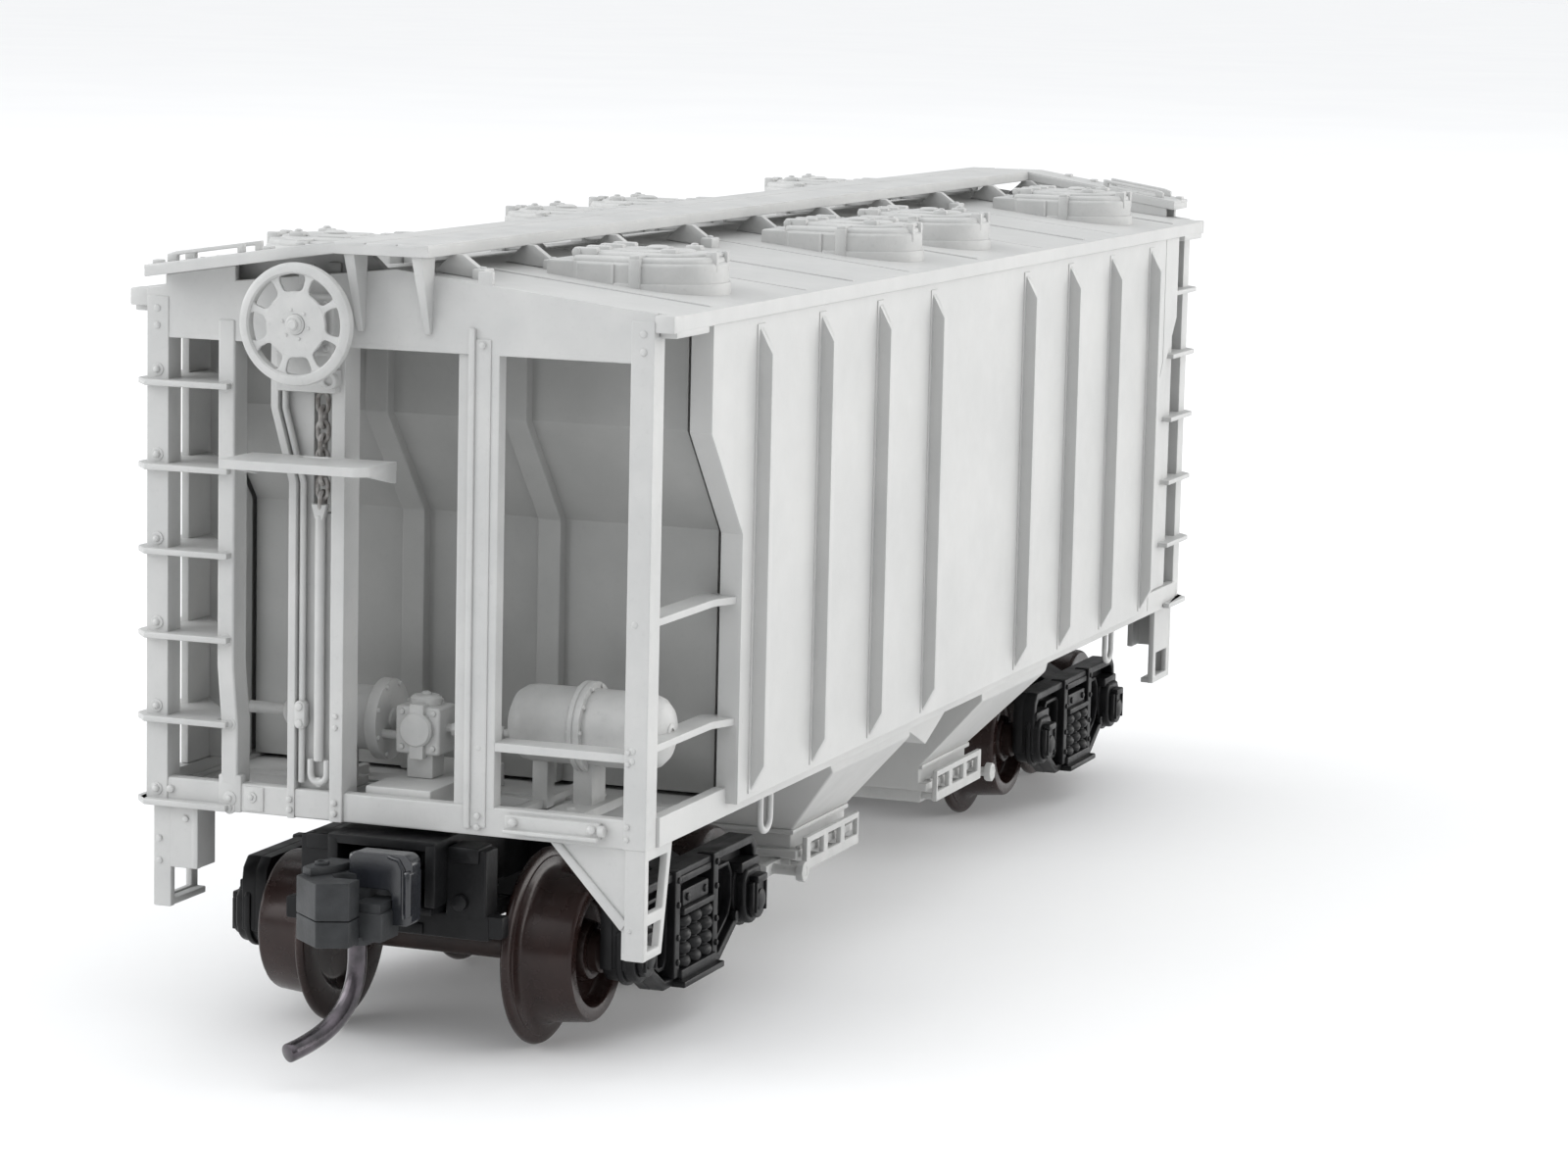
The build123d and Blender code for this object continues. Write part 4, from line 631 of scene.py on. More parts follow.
def end_frame_shape(brake_end):
    """The end frame at the B end's place, with bolts, feet and lap lines."""
    shape = Shape()
    x = -END_X
    foot = SILL_TOP_Z - 0.1
    head = LINTEL_Z + 0.1
    for side in (-1, 1):
        inner = side * (POST_Y - CORNER_POST)
        shape.block(x - 0.03, x + POST_DEPTH, inner, side * POST_Y, SILL_Z, LINTEL_Z + 1.45, 0.06)
    panel = [(-POST_Y, LINTEL_Z), (-POST_Y, roof_z(POST_Y)), (0, roof_z(0))]
    panel += [(STILE_IN_Y, roof_z(STILE_IN_Y)), (STILE_IN_Y, lateral_z(STILE_IN_Y) - BOARD_THICK)]
    panel += [(8.8, lateral_z(8.8) - BOARD_THICK), (8.8, roof_z(8.8)), (POST_Y, roof_z(POST_Y)),
              (POST_Y, LINTEL_Z)]
    shape.prism_x(panel, x, x + 0.3, 0.05)
    shape.prism_x([(-9.4, LINTEL_Z), (-9.4, LINTEL_Z + 0.22), (9.4, LINTEL_Z + 0.22), (9.4, LINTEL_Z)], x,
                  x + 0.75, 0.05)
    shape.block(x, x + 0.5, -POST_Y, POST_Y, SILL_Z, SILL_TOP_Z, 0.1)
    stile = []
    for y in (STILE_IN_Y, STILE_OUT_Y):
        edge = [(y - 0.17, foot), (y - 0.17, 11.2), (y, 13.3), (y, LINTEL_Z + 0.75)]
        stile += edge if not stile else edge[::-1]
    shape.prism_x(stile, x - 0.06, x + 0.95, 0.09, (), 3)
    sill_stub = [(5.75, SILL_Z), (5.75, foot + 0.4), (6.65, foot + 0.4), (6.65, SILL_Z)]
    shape.prism_x(sill_stub, x - 0.05, x + 0.4, 0.08)
    shape.block(x, x + 0.6, -3.89, -2.75, foot, head, 0.06)
    shape.block(x + 0.15, x + 0.8, -2.8, -2.29, foot, head, 0.06)
    shape.block(x - 0.15, x + 0.3, -3.02, -2.78, SILL_Z + 0.25, LINTEL_Z + 0.9, 0.06)
    shape.block(x - 0.06, x + 0.3, -3.6, -3.0, SILL_Z + 0.3, LINTEL_Z + 0.55, 0.06)
    for z in (SILL_Z + 0.32, SILL_Z + 0.72, LINTEL_Z + 0.35):
        shape.bolt((x - 0.06, -3.3, z), OUTWARD, 0.12, 0.12)
    if brake_end:
        left, right = 3.96, 1.82
        outer = [(left, SILL_Z), (left, KINK_LOW_Z), (left + KINK_SHIFT, KINK_TOP_Z),
                 (left + KINK_SHIFT, head)]
        inner = [(y - 0.3, z) for y, z in reversed(outer)]
        slot = [(2.49, 18.85), (2.49, 23.2), (3.2, 23.2), (3.2, 18.85)]
        web = outer + [(right, head), (right, SILL_Z)]
        shape.prism_x(web, x + 0.35, x + 0.8, 0.03, [slot])
        shape.prism_x(outer + inner, x - 0.1, x + 0.8, 0.05)
        shape.block(x - 0.1, x + 1.1, right, right + 0.52, SILL_Z, head, 0.06)
        shape.block(x - 0.06, x + 0.4, right + 0.5, left - 0.25, SILL_Z + 0.05, SILL_Z + 1.05, 0.08)
        for y in (2.12, 3.84):
            for z in (SILL_Z + 0.3, SILL_Z + 0.68):
                shape.bolt((x - 0.1, y, z), OUTWARD, 0.12, 0.1)
        for z in (11.45, 11.85):
            shape.bolt((x - 0.1, 2.1, z), OUTWARD, 0.1, 0.08)
    else:
        shape.block(x, x + 0.6, 2.75, 3.89, foot, head, 0.06)
        shape.block(x + 0.15, x + 0.8, 2.29, 2.8, foot, head, 0.06)
        shape.block(x - 0.15, x + 0.3, 2.78, 3.02, SILL_Z + 0.25, LINTEL_Z + 0.9, 0.06)
        for z in (SILL_Z + 0.32, SILL_Z + 0.72, LINTEL_Z + 0.35):
            shape.bolt((x, 3.4, z), OUTWARD, 0.12, 0.12)
    for y in (-9.12, 9.1):
        for z in (25.65, 25.05):
            shape.bolt((x - 0.03, y, z), OUTWARD, 0.13, 0.05)
    for z in (11.5, 11.1, 8.95, 8.5):
        shape.bolt((x - 0.03, -8.82, z), OUTWARD, 0.1, 0.07)
    for y in (9.12, 8.55):
        shape.bolt((x, y, 8.75), OUTWARD, 0.15, 0.12)
    shape.block(x - 0.05, x + 0.1, 4.9, 5.65, SILL_Z + 0.1, SILL_TOP_Z - 0.08, 0.03)
    shape.bolt((x - 0.05, 5.35, 8.72), OUTWARD, 0.11, 0.1, 0.2)
    shape.bolt((x - 0.05, 6.2, 8.62), OUTWARD, 0.12, 0.12, 0.26)
    return shape


def bulkhead_shape():
    shape = Shape()
    top = -(SHEET_TOP_X - 0.65)
    low = -(SHEET_LOW_X - 0.65)
    outer = [(top, roof_z(SHEET_Y) - 0.55), (top, CRANK_TOP_Z), (low, CRANK_LOW_Z),
             (low, SHEET_LOW_Z + 0.15)]
    inner = [(px + 0.7, pz) for px, pz in reversed(outer)]
    half = SHEET_Y - EDGE_LIP
    shape.prism_y(outer + inner, -half + SEAM_GAP_RIGHT, half - SEAM_GAP_LEFT, 0.02)
    proud = [(px - 0.5, pz) for px, pz in outer]
    back = [(px + 0.1, pz) for px, pz in reversed(outer)]
    for y in (-2.65, 2.65):
        shape.prism_y(proud + back, y - 0.45, y + 0.45, 0.08)
    return shape


def underframe_shape():
    """Cage floors, centre sill, cross ridge and pin bosses."""
    shape = Shape()
    half = POST_Y - 0.45
    end = END_X - 0.52
    z0, z1 = SILL_Z + 0.02, SHEET_LOW_Z
    shape.block(-26.7, 26.7, -half, half, z0, z1, 0.03)
    floor = [(-32.45, -8.6), (-32.45, -half), (-26.6, -half), (-26.6, half), (-32.45, half), (-32.45, 8.6),
             (-end, 8.6), (-end, 3.98), (-32.28, 3.98), (-32.28, 1.8), (-end, 1.8), (-end, -8.6)]
    openings = ((4.6, 8.6, -31.6, -28.2), (-8.6, -4.6, -31.6, -28.2), (1.85, 3.2, -32.1, -28.6),
                (-3.2, -1.7, -32.2, -28.6))
    holes = [[(x0, y0), (x1, y0), (x1, y1), (x0, y1)] for y0, y1, x0, x1 in openings]
    cage = Shape()
    cage.prism_z(floor, z0, z1, 0.03, holes)
    cage.block(-end, -26.6, -1.25, 1.25, SHEET_LOW_Z - 0.1, SILL_TOP_Z + 0.25, 0.08)
    for y in (-4.2, 4.2):
        cage.block(-32.6, -26.7, y - 0.16, y + 0.16, z1 - 0.1, z1 + 0.35, 0.05)
    for x in (-31.9, -28.0):
        cage.block(x - 0.3, x + 0.3, -half + 0.4, half - 0.4, z1 - 0.1, z1 + 0.08, 0.03)
    shape.join(cage).join(cage, HALF_TURN)
    for x in (-TRUCK_X, TRUCK_X):
        shape.collar(0.9, 1.25, 1.5, (x, 0, SHEET_LOW_Z - 0.1), Z_AXIS, 40)
    reach = BAY_INNER_X - 0.02
    shape.block(-reach, reach, -1.25, 1.25, 5.6, SILL_Z + 0.1, 0.06)
    shape.prism_y([(-reach, SILL_Z + 0.1), (0, 6.4), (reach, SILL_Z + 0.1)], -8.2, 8.2, 0.05)
    return shape


def bay_shape():
    """The B end hopper bay: sloping sheets, a flanged outlet and stiffening lips."""
    shape = Shape()
    top = SILL_Z
    xi, xs, xo = -BAY_INNER_X, -BAY_SLOPE_X, -BAY_OUTER_X
    levels = [(top, xi, xs, BAY_TOP_Y), (top - 0.6, xi, xs + 0.56, BAY_TOP_Y),
              (BAY_LOW_Z, xi, xo, BAY_LOW_Y), (OUTLET_LOW_Z, xi, xo, BAY_LOW_Y)]
    shape.loft([[(a, -w, z), (b, -w, z), (b, w, z), (a, w, z)] for z, a, b, w in levels], 0.1)
    shape.block(xo - 0.33, xi - 0.01, -BAY_LOW_Y - 0.34, BAY_LOW_Y + 0.34, OUTLET_LOW_Z, OUTLET_LOW_Z + 0.33,
                0.06)
    shape.block(xo - 0.15, xi - 0.01, -BAY_LOW_Y - 0.15, BAY_LOW_Y + 0.15, BAY_LOW_Z - 0.1, BAY_LOW_Z + 0.1,
                0.05)
    for y in (-BAY_LOW_Y - 0.2, BAY_LOW_Y + 0.2):
        for k in range(5):
            shape.bolt((xi - 0.9 - k * 1.25, y, OUTLET_LOW_Z + 0.33), Z_AXIS, 0.12, 0.08)
    return shape


def gate_shape():
    """The B end outlet gate with its rack bars, frame and operating shaft."""
    shape = Shape()
    low = OUTLET_LOW_Z - 0.55
    xo = -BAY_OUTER_X
    shape.block(xo - 0.1, -BAY_INNER_X - 0.3, -BAY_LOW_Y, BAY_LOW_Y, low, OUTLET_LOW_Z, 0.06)
    for y in (-5.9, -4.3, 4.3, 5.9):
        shape.block(xo - 1.8, xo, y - 0.16, y + 0.16, low, low + 0.5, 0.05)
    for k in range(9):
        for y in (-4.3, 4.3):
            shape.block(xo - 0.25 - k * 0.17, xo - 0.17 - k * 0.17, y - 0.14, y + 0.14, low + 0.42,
                        low + 0.55, 0.01)
    shape.block(xo - 1.8, xo - 1.45, -6.1, 6.1, low, low + 0.5, 0.06)
    for side in (-1, 1):
        cut = [[(x, OUTLET_LOW_Z - 0.05), (x + 1.5, OUTLET_LOW_Z - 0.05), (x + 1.5, OUTLET_LOW_Z + 0.6),
                (x, OUTLET_LOW_Z + 0.6)] for x in (xo + 0.35, xo + 2.3, xo + 4.25)]
        rail = [(xo - 0.1, low + 0.1), (-BAY_INNER_X - 0.3, low + 0.1),
                (-BAY_INNER_X - 0.3, OUTLET_LOW_Z + 0.85), (xo - 0.1, OUTLET_LOW_Z + 0.85)]
        shape.prism_y(rail, side * (BAY_LOW_Y + 0.5), side * (BAY_LOW_Y + 0.72), 0.04, cut)
        for x in (xo + 0.1, xo + 2.05, xo + 4.0, -BAY_INNER_X - 0.5):
            shape.block(x - 0.1, x + 0.1, side * (BAY_LOW_Y - 0.1), side * (BAY_LOW_Y + 0.6), low + 0.15,
                        low + 0.4, 0.03)
    shaft = xo - 0.95
    shape.rod((shaft, -7.38, low + 0.25), (shaft, 7.38, low + 0.25), 0.2)
    for y in (-7.39, 7.09):
        shape.collar(0.2, 0.42, 0.3, (shaft, y, low + 0.25), Y_AXIS, 8, 0.04)
    return shape


# ---------------------------------------------------------------- ladders, grabs, steps
def ladder_shape():
    """The B end's corner ladder: rung plates, bolted feet and the angle stile on the side."""
    shape = Shape()
    front = -END_X - 0.42
    outer = POST_Y + 0.45
    flange = -29.3
    shape.block(-30.9, -28.9, 9.2, POST_Y - 0.01, SILL_TOP_Z, FASCIA_Z, 0.06)
    shape.block(flange, -28.9, 8.6, 9.25, SILL_TOP_Z, FASCIA_Z, 0.06)
    nose = [(front, STILE_IN_Y + 0.1), (front, POST_Y - 0.1), (-END_X + 0.2, outer)]
    plan = nose + [(-29.6, outer), (-29.6, 9.45), (flange, 9.45), (flange, 9.2)]
    plan += [(-END_X + 0.96, 6.75), (-END_X, 6.75), (-END_X, STILE_IN_Y + 0.1)]
    lowest = nose + [(-30.35, outer), (-30.35, POST_Y + 0.13), (-END_X, POST_Y + 0.13),
                     (-END_X, STILE_IN_Y + 0.1)]
    for k in range(RUNG_COUNT):
        z = RUNG_TOP_Z - k * RUNG_PITCH
        shape.prism_z(plan if k < RUNG_COUNT - 1 else lowest, z - 0.22, z, 0.05)
        for y, lift in ((9.08, 0.32), (6.36 if z > 13 else 6.2, -0.12)):
            shape.bolt((-END_X - 0.03, y, z + lift), OUTWARD, 0.13, 0.16, 0.23)
    return shape


def grab_shape():
    """Flat rung plates that close the cage's right side, and one across the end."""
    shape = Shape()
    outer, inner = -POST_Y + 0.03, -POST_Y + 1.0
    face = -END_X
    for z in (16.0, 11.68):
        reach = (-25.9, -SHEET_Y - 0.02)
        plan = [(face + 0.9, outer), (-27.4, outer), reach]
        plan += arc(-26.4, inner - 0.5, 0.5, 0, 90, 6) + [(face + 0.9, inner)]
        shape.prism_z(plan, z - 0.27, z, 0.04)
        shape.bolt((face, -8.98, z - 0.14), OUTWARD, 0.13, 0.05)
    end_plate = [(face + 0.03, -8.7), (face + 0.03, -3.8), (face + 1.1, -3.8), (face + 1.1, -8.7)]
    shape.prism_z(end_plate, 11.1, 11.42, 0.05)
    for y in (-8.98, -3.3):
        shape.bolt((face, y, 11.2), OUTWARD, 0.12, 0.07)
    return shape


def step_shape():
    """The gusseted step and the plate step of the B end."""
    shape = Shape()
    x = -END_X
    top = SILL_Z + 0.05
    gusset = [(-5.95, top), (-9.5, top), (-9.5, 4.3), (-8.62, 4.3), (-8.62, 5.3)]
    shape.prism_x(gusset, x + 0.12, x + 0.3, 0.04)
    shape.prism_x([(-5.95, top), (-6.35, top), (-8.86, 5.62), (-8.62, 5.3)], x, x + 0.2, 0.06)
    shape.block(x, x + 0.28, -9.5, -8.75, 4.3, top, 0.06)
    shape.bolt((x, -8.98, 5.35), OUTWARD, 0.07, 0.04)
    rail = [(x + 0.02, top), (x + 2.5, top), (x + 1.65, 4.3), (x + 0.02, 4.3)]
    upper = [(x + 0.38, 7.75), (x + 2.08, 7.75), (x + 1.7, 5.9), (x + 0.38, 5.9)]
    lower = [(x + 0.38, 5.5), (x + 1.58, 5.5), (x + 1.4, 4.6), (x + 0.38, 4.6)]
    shape.prism_y(rail, -9.5, -9.2, 0.05, [upper, lower])
    shape.block(x + 0.05, x + 1.6, -9.45, -8.7, 4.3, 4.55, 0.05)
    shape.block(x + 0.05, x + 1.75, -9.45, -8.9, 5.52, 5.74, 0.05)
    side = [(x + 0.02, top), (x + 2.8, top), (x + 2.8, 4.5), (x + 0.02, 4.5)]
    window = [(x + 0.5, 5.9), (x + 2.35, 5.9), (x + 2.35, 4.8), (x + 0.5, 4.8)]
    shape.prism_y(side, 8.95, 9.22, 0.05, [window])
    shape.block(x, x + 0.32, 8.52, 9.22, 4.5, top, 0.06)
    shape.block(x, x + 0.32, 7.48, 9.22, 5.94, top, 0.06)
    shape.block(x, x + 1.35, 7.48, 7.76, 5.94, top, 0.06)
    shape.block(x + 0.05, x + 2.75, 8.6, 9.2, 4.5, 4.74, 0.05)
    for y, z in ((7.95, 7.72), (8.98, 6.95), (8.98, 6.15)):
        shape.bolt((x, y, z), OUTWARD, 0.12, 0.08)
    return shape


def lever_shape():
    shape = Shape()
    x = -END_X
    shape.block(x - 0.3, x + 0.02, -7.9, -4.4, 8.45, 9.02, 0.07)
    shape.block(x - 0.48, x + 0.02, -7.9, -4.4, 8.4, 8.55, 0.05)
    for y in (-4.75, -7.65):
        shape.bolt((x - 0.3, y, 8.8), OUTWARD, 0.16, 0.2)
    shape.rod((x - 0.2, -8.1, 8.75), (x - 0.2, -7.85, 8.75), 0.2, 16)
    return shape


def loop_shape():
    shape = Shape()
    for x in (-21.9, 21.9):
        for side in (-1, 1):
            y = side * (POST_Y - 0.05)
            z = SILL_Z + 0.15
            points = [(x - 0.5, y, z), (x - 0.5, y, z - 0.8)]
            points += [(px, y, pz) for px, pz in arc(x, z - 0.95, 0.5, 180, 360, 10)]
            points += [(x + 0.5, y, z - 0.8), (x + 0.5, y, z)]
            shape.tube(points, 0.13, 10)
    return shape


# ---------------------------------------------------------------- brake gear
def brake_wheel_shape():
    """Thick rounded rim, eight flared spokes, a flat centre disc and a bolted hub."""
    shape = Shape()
    centre = (WHEEL_X, WHEEL_Y, WHEEL_Z)
    rim = [(1.71, -0.18), (1.76, -0.24), (1.98, -0.25), (2.08, -0.16), (2.1, 0.0), (2.07, 0.13), (1.96, 0.2),
           (1.78, 0.2), (1.72, 0.13)]
    shape.lathe(rim, centre, OUTWARD, 96, 0.0, True)
    shape.lathe([(0.36, -0.08), (1.09, -0.08), (1.13, -0.04), (1.13, 0.05), (1.09, 0.09), (0.36, 0.09)],
                centre, OUTWARD, 72, 0.0, True)
    shape.lathe([(0.36, -0.3), (0.55, -0.3), (0.55, 0.0), (0.36, 0.0)], centre, OUTWARD, 40, 0.0, True)
    profile = [(1.06, 0.34), (1.13, 0.2), (1.19, 0.135), (1.28, 0.11), (1.54, 0.12), (1.63, 0.15),
               (1.69, 0.21), (1.78, 0.36)]
    for k in range(8):
        angle = math.radians(45 * k + 17.5)
        along = Vector((0, math.cos(angle), math.sin(angle)))
        across = Vector((0, -math.sin(angle), math.cos(angle)))
        ring = [Vector(centre) + along * r + across * w for r, w in profile]
        ring += [Vector(centre) + along * r - across * w for r, w in reversed(profile)]
        shape.prism([p + Vector((-0.08, 0, 0)) for p in ring], (0.15, 0, 0), 0.03)
    for radius, height in ((0.3, 0.16), (0.17, 0.3)):
        shape.lathe([(radius, 0.0), (radius, height - 0.04), (radius - 0.04, height), (0, height)],
                    (WHEEL_X - 0.05, WHEEL_Y, WHEEL_Z), OUTWARD, 28)
    shape.lathe([(0.35, 0.02), (0.35, 0.1), (0.31, 0.13), (0, 0.13)], centre, OUTWARD, 28)
    for y, z in arc(WHEEL_Y, WHEEL_Z, 0.5, 12, 312, 5):
        shape.bolt((WHEEL_X - 0.08, y, z), OUTWARD, 0.06, 0.05)
    return shape


def brake_box_shape():
    shape = Shape()
    back = -END_X - 0.12
    shape.block(back - 0.72, back + 0.15, 1.95, 3.85, WHEEL_Z - 1.15, WHEEL_Z + 0.95, 0.16, 3)
    shape.block(back - 0.42, back + 0.15, 2.0, 4.28, WHEEL_Z - 2.42, WHEEL_Z - 1.05, 0.08)
    shape.block(back - 0.6, back, 1.92, 2.5, WHEEL_Z - 2.2, WHEEL_Z - 1.6, 0.08)
    shape.collar(0.16, 0.3, 0.3, (back - 0.42, 2.12, WHEEL_Z - 1.95), OUTWARD, 20, 0.04)
    shape.rod((back - 0.5, WHEEL_Y, WHEEL_Z), (WHEEL_X - 0.1, WHEEL_Y, WHEEL_Z), 0.3)
    shape.rod((back - 0.5, WHEEL_Y, WHEEL_Z), (back - 0.95, WHEEL_Y, WHEEL_Z), 0.55)
    for y in (2.2, 3.6):
        for z in (WHEEL_Z - 0.85, WHEEL_Z + 0.65):
            shape.bolt((back - 0.72, y, z), OUTWARD, 0.12, 0.08)
    return shape


def chain_shape():
    """Stretched links that hang in the web's slot, turned a quarter from one to the next."""
    shape = Shape()
    for k in range(8):
        centre = Vector((-END_X + 0.2, 2.8, WHEEL_Z - 2.82 - k * 0.49))
        points = []
        for step in range(24):
            angle = math.tau * step / 24
            up = 0.27 * math.sin(angle) + math.copysign(0.09, math.sin(angle))
            wide = 0.2 * math.cos(angle)
            points.append(centre + Vector((0, wide, up) if k % 2 == 0 else (wide, 0, up)))
        shape.tube(points, 0.085, 10, closed=True)
    return shape


def brake_rod_shape():
    shape = Shape()
    x = -END_X + 0.12
    y = 2.84
    shape.rod((x, y, 10.2), (x, y, 18.8), 0.18, 20)
    fork = [(y - 0.15, 18.65), (y + 0.15, 18.65), (y + 0.3, 19.2), (y - 0.3, 19.2)]
    shape.prism_x(fork, x - 0.15, x + 0.15, 0.05)
    for end_z, bend_z, sweep, radius in ((10.25, 9.75, -180, 0.12), (10.1, 10.1, 180, 0.13)):
        bend = [(x, py, pz) for py, pz in arc(y, bend_z, 0.31, 0, sweep, 12)]
        shape.tube([(x, y + 0.31, end_z)] + bend + [(x, y - 0.31, end_z)], radius, 12)
    shape.rod((x - 0.05, y, 9.45), (x + 0.1, y, 9.45), 0.17, 16)
    route = [(x, 3.5, 9.4), (x, 3.5, KINK_LOW_Z), (x, 3.5 + KINK_SHIFT, KINK_TOP_Z),
             (x, 3.5 + KINK_SHIFT, 23.6)]
    shape.tube(route, 0.12, 12)
    shape.prism_x(arc(3.49, 11.5, 0.2, 180, 360, 8) + arc(3.49, 12.1, 0.2, 0, 180, 8), x - 0.24, x + 0.15,
                  0.04)
    for z in (11.5, 12.1):
        shape.bolt((x - 0.24, 3.49, z), OUTWARD, 0.15, 0.1)
    return shape


def brake_step_shape():
    shape = Shape()
    back = -END_X - 0.1
    front = back - 2.5
    plan = [(back, -0.15)] + arc(front + 0.5, 0.35, 0.5, 270, 180, 6) + [(front, 5.35), (back, 5.35)]
    slot = [(back - 0.05, 2.3), (back - 0.5, 2.3), (back - 0.5, 3.4), (back - 0.05, 3.4)]
    shape.prism_z(plan, STEP_Z - 0.32, STEP_Z, 0.06, [slot])
    for y in (-0.15, 5.1):
        web = [(back, STEP_Z - 0.1), (front + 0.5, STEP_Z - 0.1), (front + 0.5, STEP_Z - 0.34),
               (back, STEP_Z - 0.75)]
        shape.prism_y(web, y, y + 0.25, 0.05)
    return shape


# ---------------------------------------------------------------- air brake equipment
def reservoir_shape():
    shape = Shape()
    x, z, r = -29.9, 11.6, 1.35
    body = [(0, -4.85), (0.5, -4.84), (0.95, -4.72), (1.2, -4.48), (1.32, -4.15), (r, -3.9), (r, 0.2),
            (1.3, 0.5), (1.12, 0.78), (0.8, 0.95), (0.4, 1.02), (0, 1.03)]
    shape.lathe(body, (x, -4.1, z), Y_AXIS, 56)
    shape.lathe([(r - 0.1, 0), (1.58, 0.0), (1.6, 0.04), (1.6, 0.17), (1.55, 0.2), (1.55, 0.24), (1.6, 0.27),
                 (1.6, 0.42), (1.57, 0.45), (r - 0.1, 0.45)], (x, -6.15, z), Y_AXIS, 56, 0.0, True)
    for bolt_x, bolt_z in arc(x, z, 1.47, 0, 324, 9):
        shape.bolt((bolt_x, -6.15, bolt_z), (0, -1, 0), 0.09, 0.08)
        shape.bolt((bolt_x, -5.7, bolt_z), Y_AXIS, 0.09, 0.08)
    shape.lathe([(0.36, 0), (0.36, 0.16), (0.3, 0.2), (0.2, 0.2), (0.18, 0.08), (0, 0.08)], (x, -8.8, z),
                (0, -1, 0), 28)
    shape.block(x - 0.62, x + 0.62, -6.3, -5.55, SHEET_LOW_Z, z - 1.0, 0.08)
    shape.block(x - 1.9, x + 1.6, -6.6, -5.2, SHEET_LOW_Z, SHEET_LOW_Z + 0.35, 0.06)
    shape.block(x - 0.35, x + 0.35, -4.5, -3.9, SHEET_LOW_Z, z - 1.1, 0.08)
    for dx in (-1.55, 1.25):
        shape.bolt((x + dx, -5.9, SHEET_LOW_Z + 0.35), Z_AXIS, 0.16, 0.1)
    return shape


def valve_shape():
    shape = Shape()
    x = -30.4
    shape.block(x - 0.7, x + 0.7, -0.75, 0.95, 10.3, 12.0, 0.12, 3)
    shape.block(x - 0.9, x + 0.9, -0.2, 0.35, 10.15, 12.1, 0.06)
    for side in (-1, 1):
        cover = [(0.62, 0), (0.62, 0.2), (0.55, 0.28), (0.3, 0.3), (0, 0.3)]
        shape.lathe(cover, (x + side * 0.68, 0.1, 11.2), (side, 0, 0), 32)
    shape.lathe([(0.55, 0), (0.55, 0.26), (0.45, 0.35), (0, 0.36)], (x, 0.1, 11.98), Z_AXIS, 32)
    shape.lathe([(0.18, 0), (0.18, 0.1), (0.1, 0.16), (0, 0.17)], (x, 0.1, 12.3), Z_AXIS, 16)
    for y in (-0.5, 0.7):
        for z in (10.55, 11.8):
            shape.bolt((x - 0.7, y, z), OUTWARD, 0.11, 0.09)
    shape.block(x - 0.5, x + 0.5, -0.4, 0.6, SILL_TOP_Z + 0.25, 10.4, 0.06)
    return shape


def cylinder_shape():
    shape = Shape()
    x, z = -29.6, 11.2
    barrel = [(0, -0.02), (1.0, 0.0), (1.42, 0.02), (1.45, 0.07), (1.45, 0.42), (1.4, 0.47), (1.15, 0.5),
              (1.15, 3.4), (1.05, 3.55), (0.6, 3.95), (0.42, 4.12), (0, 4.14)]
    shape.lathe(barrel, (x, 1.75, z), Y_AXIS, 56)
    for bolt_x, bolt_z in arc(x, z, 1.3, 22.5, 337.5, 7):
        shape.bolt((bolt_x, 1.77, bolt_z), (0, -1, 0), 0.1, 0.09)
    shape.rod((x, 5.7, z), (x, 7.4, z), 0.22)
    shape.lathe([(0.4, 0), (0.4, 0.12), (0.22, 0.2), (0, 0.2)], (x, 1.76, z), (0, -1, 0), 24)
    shape.block(x - 0.5, x + 0.5, 3.3, 4.1, SHEET_LOW_Z, z - 0.9, 0.08)
    shape.block(x - 1.1, x + 1.1, 3.2, 4.2, SHEET_LOW_Z, SHEET_LOW_Z + 0.3, 0.06)
    return shape


def pipes_shape():
    shape = Shape()
    shape.tube([(-30.4, -0.6, 11.2), (-30.4, -3.15, 11.2)], 0.16, 14)
    shape.tube([(-30.4, 0.9, 10.8), (-30.4, 1.8, 10.8)], 0.16, 14)
    for y in (-0.95, -2.7):
        shape.collar(0.16, 0.25, 0.22, (-30.4, y, 11.2), (0, -1, 0), 6, 0.02)
    return shape


# ---------------------------------------------------------------- wheels and trucks
def wheel_shape(x):
    """Both wheels of an axle: fine flange, coned tread, bright-edged rim and a deep dished face."""
    shape = Shape()
    flange = [(0.75, 0.35), (1.9, 0.35), (2.1, 0.28), (2.28, 0.06), (2.42, 0), (3.3, 0), (3.42, 0.03),
              (3.48, 0.1), (3.5, 0.19), (3.47, 0.28), (3.41, 0.33), (3.2, 0.37), (3.17, 0.41), (2.95, 0.45),
              (2.8, 0.5), (2.72, 0.58), (2.67, 0.72), (2.65, 0.8)]
    dish = [(2.53, 0.14), (2.5, 0.06), (2.43, 0), (2.02, 0), (1.97, 0.03), (1.93, 0.1), (1.88, 0.5),
            (1.8, 0.62), (1.6, 0.7), (1.25, 0.74), (1.12, 0.66), (1.05, 0.3), (1.0, 0.17), (0.93, 0.13),
            (0.75, 0.13)]
    profile = [(r, WHEEL_BACK_Y + along) for r, along in flange]
    profile += [(r, WHEEL_FACE_Y - deep) for r, deep in dish]
    for side in (-1, 1):
        shape.lathe(profile, (x, 0, AXLE_Z), (0, side, 0), 112, 0.0, True)
    return shape


def axle_shape(x):
    shape = Shape()
    half = [(0.62, 3.4), (0.68, 4.0), (0.75, 4.2), (0.75, 6.24), (0.7, 6.3), (0.12, 7.04), (0, 7.08)]
    profile = [(r, -along) for r, along in reversed(half)] + half
    shape.lathe(profile, (x, 0, AXLE_Z), Y_AXIS, 48)
    return shape


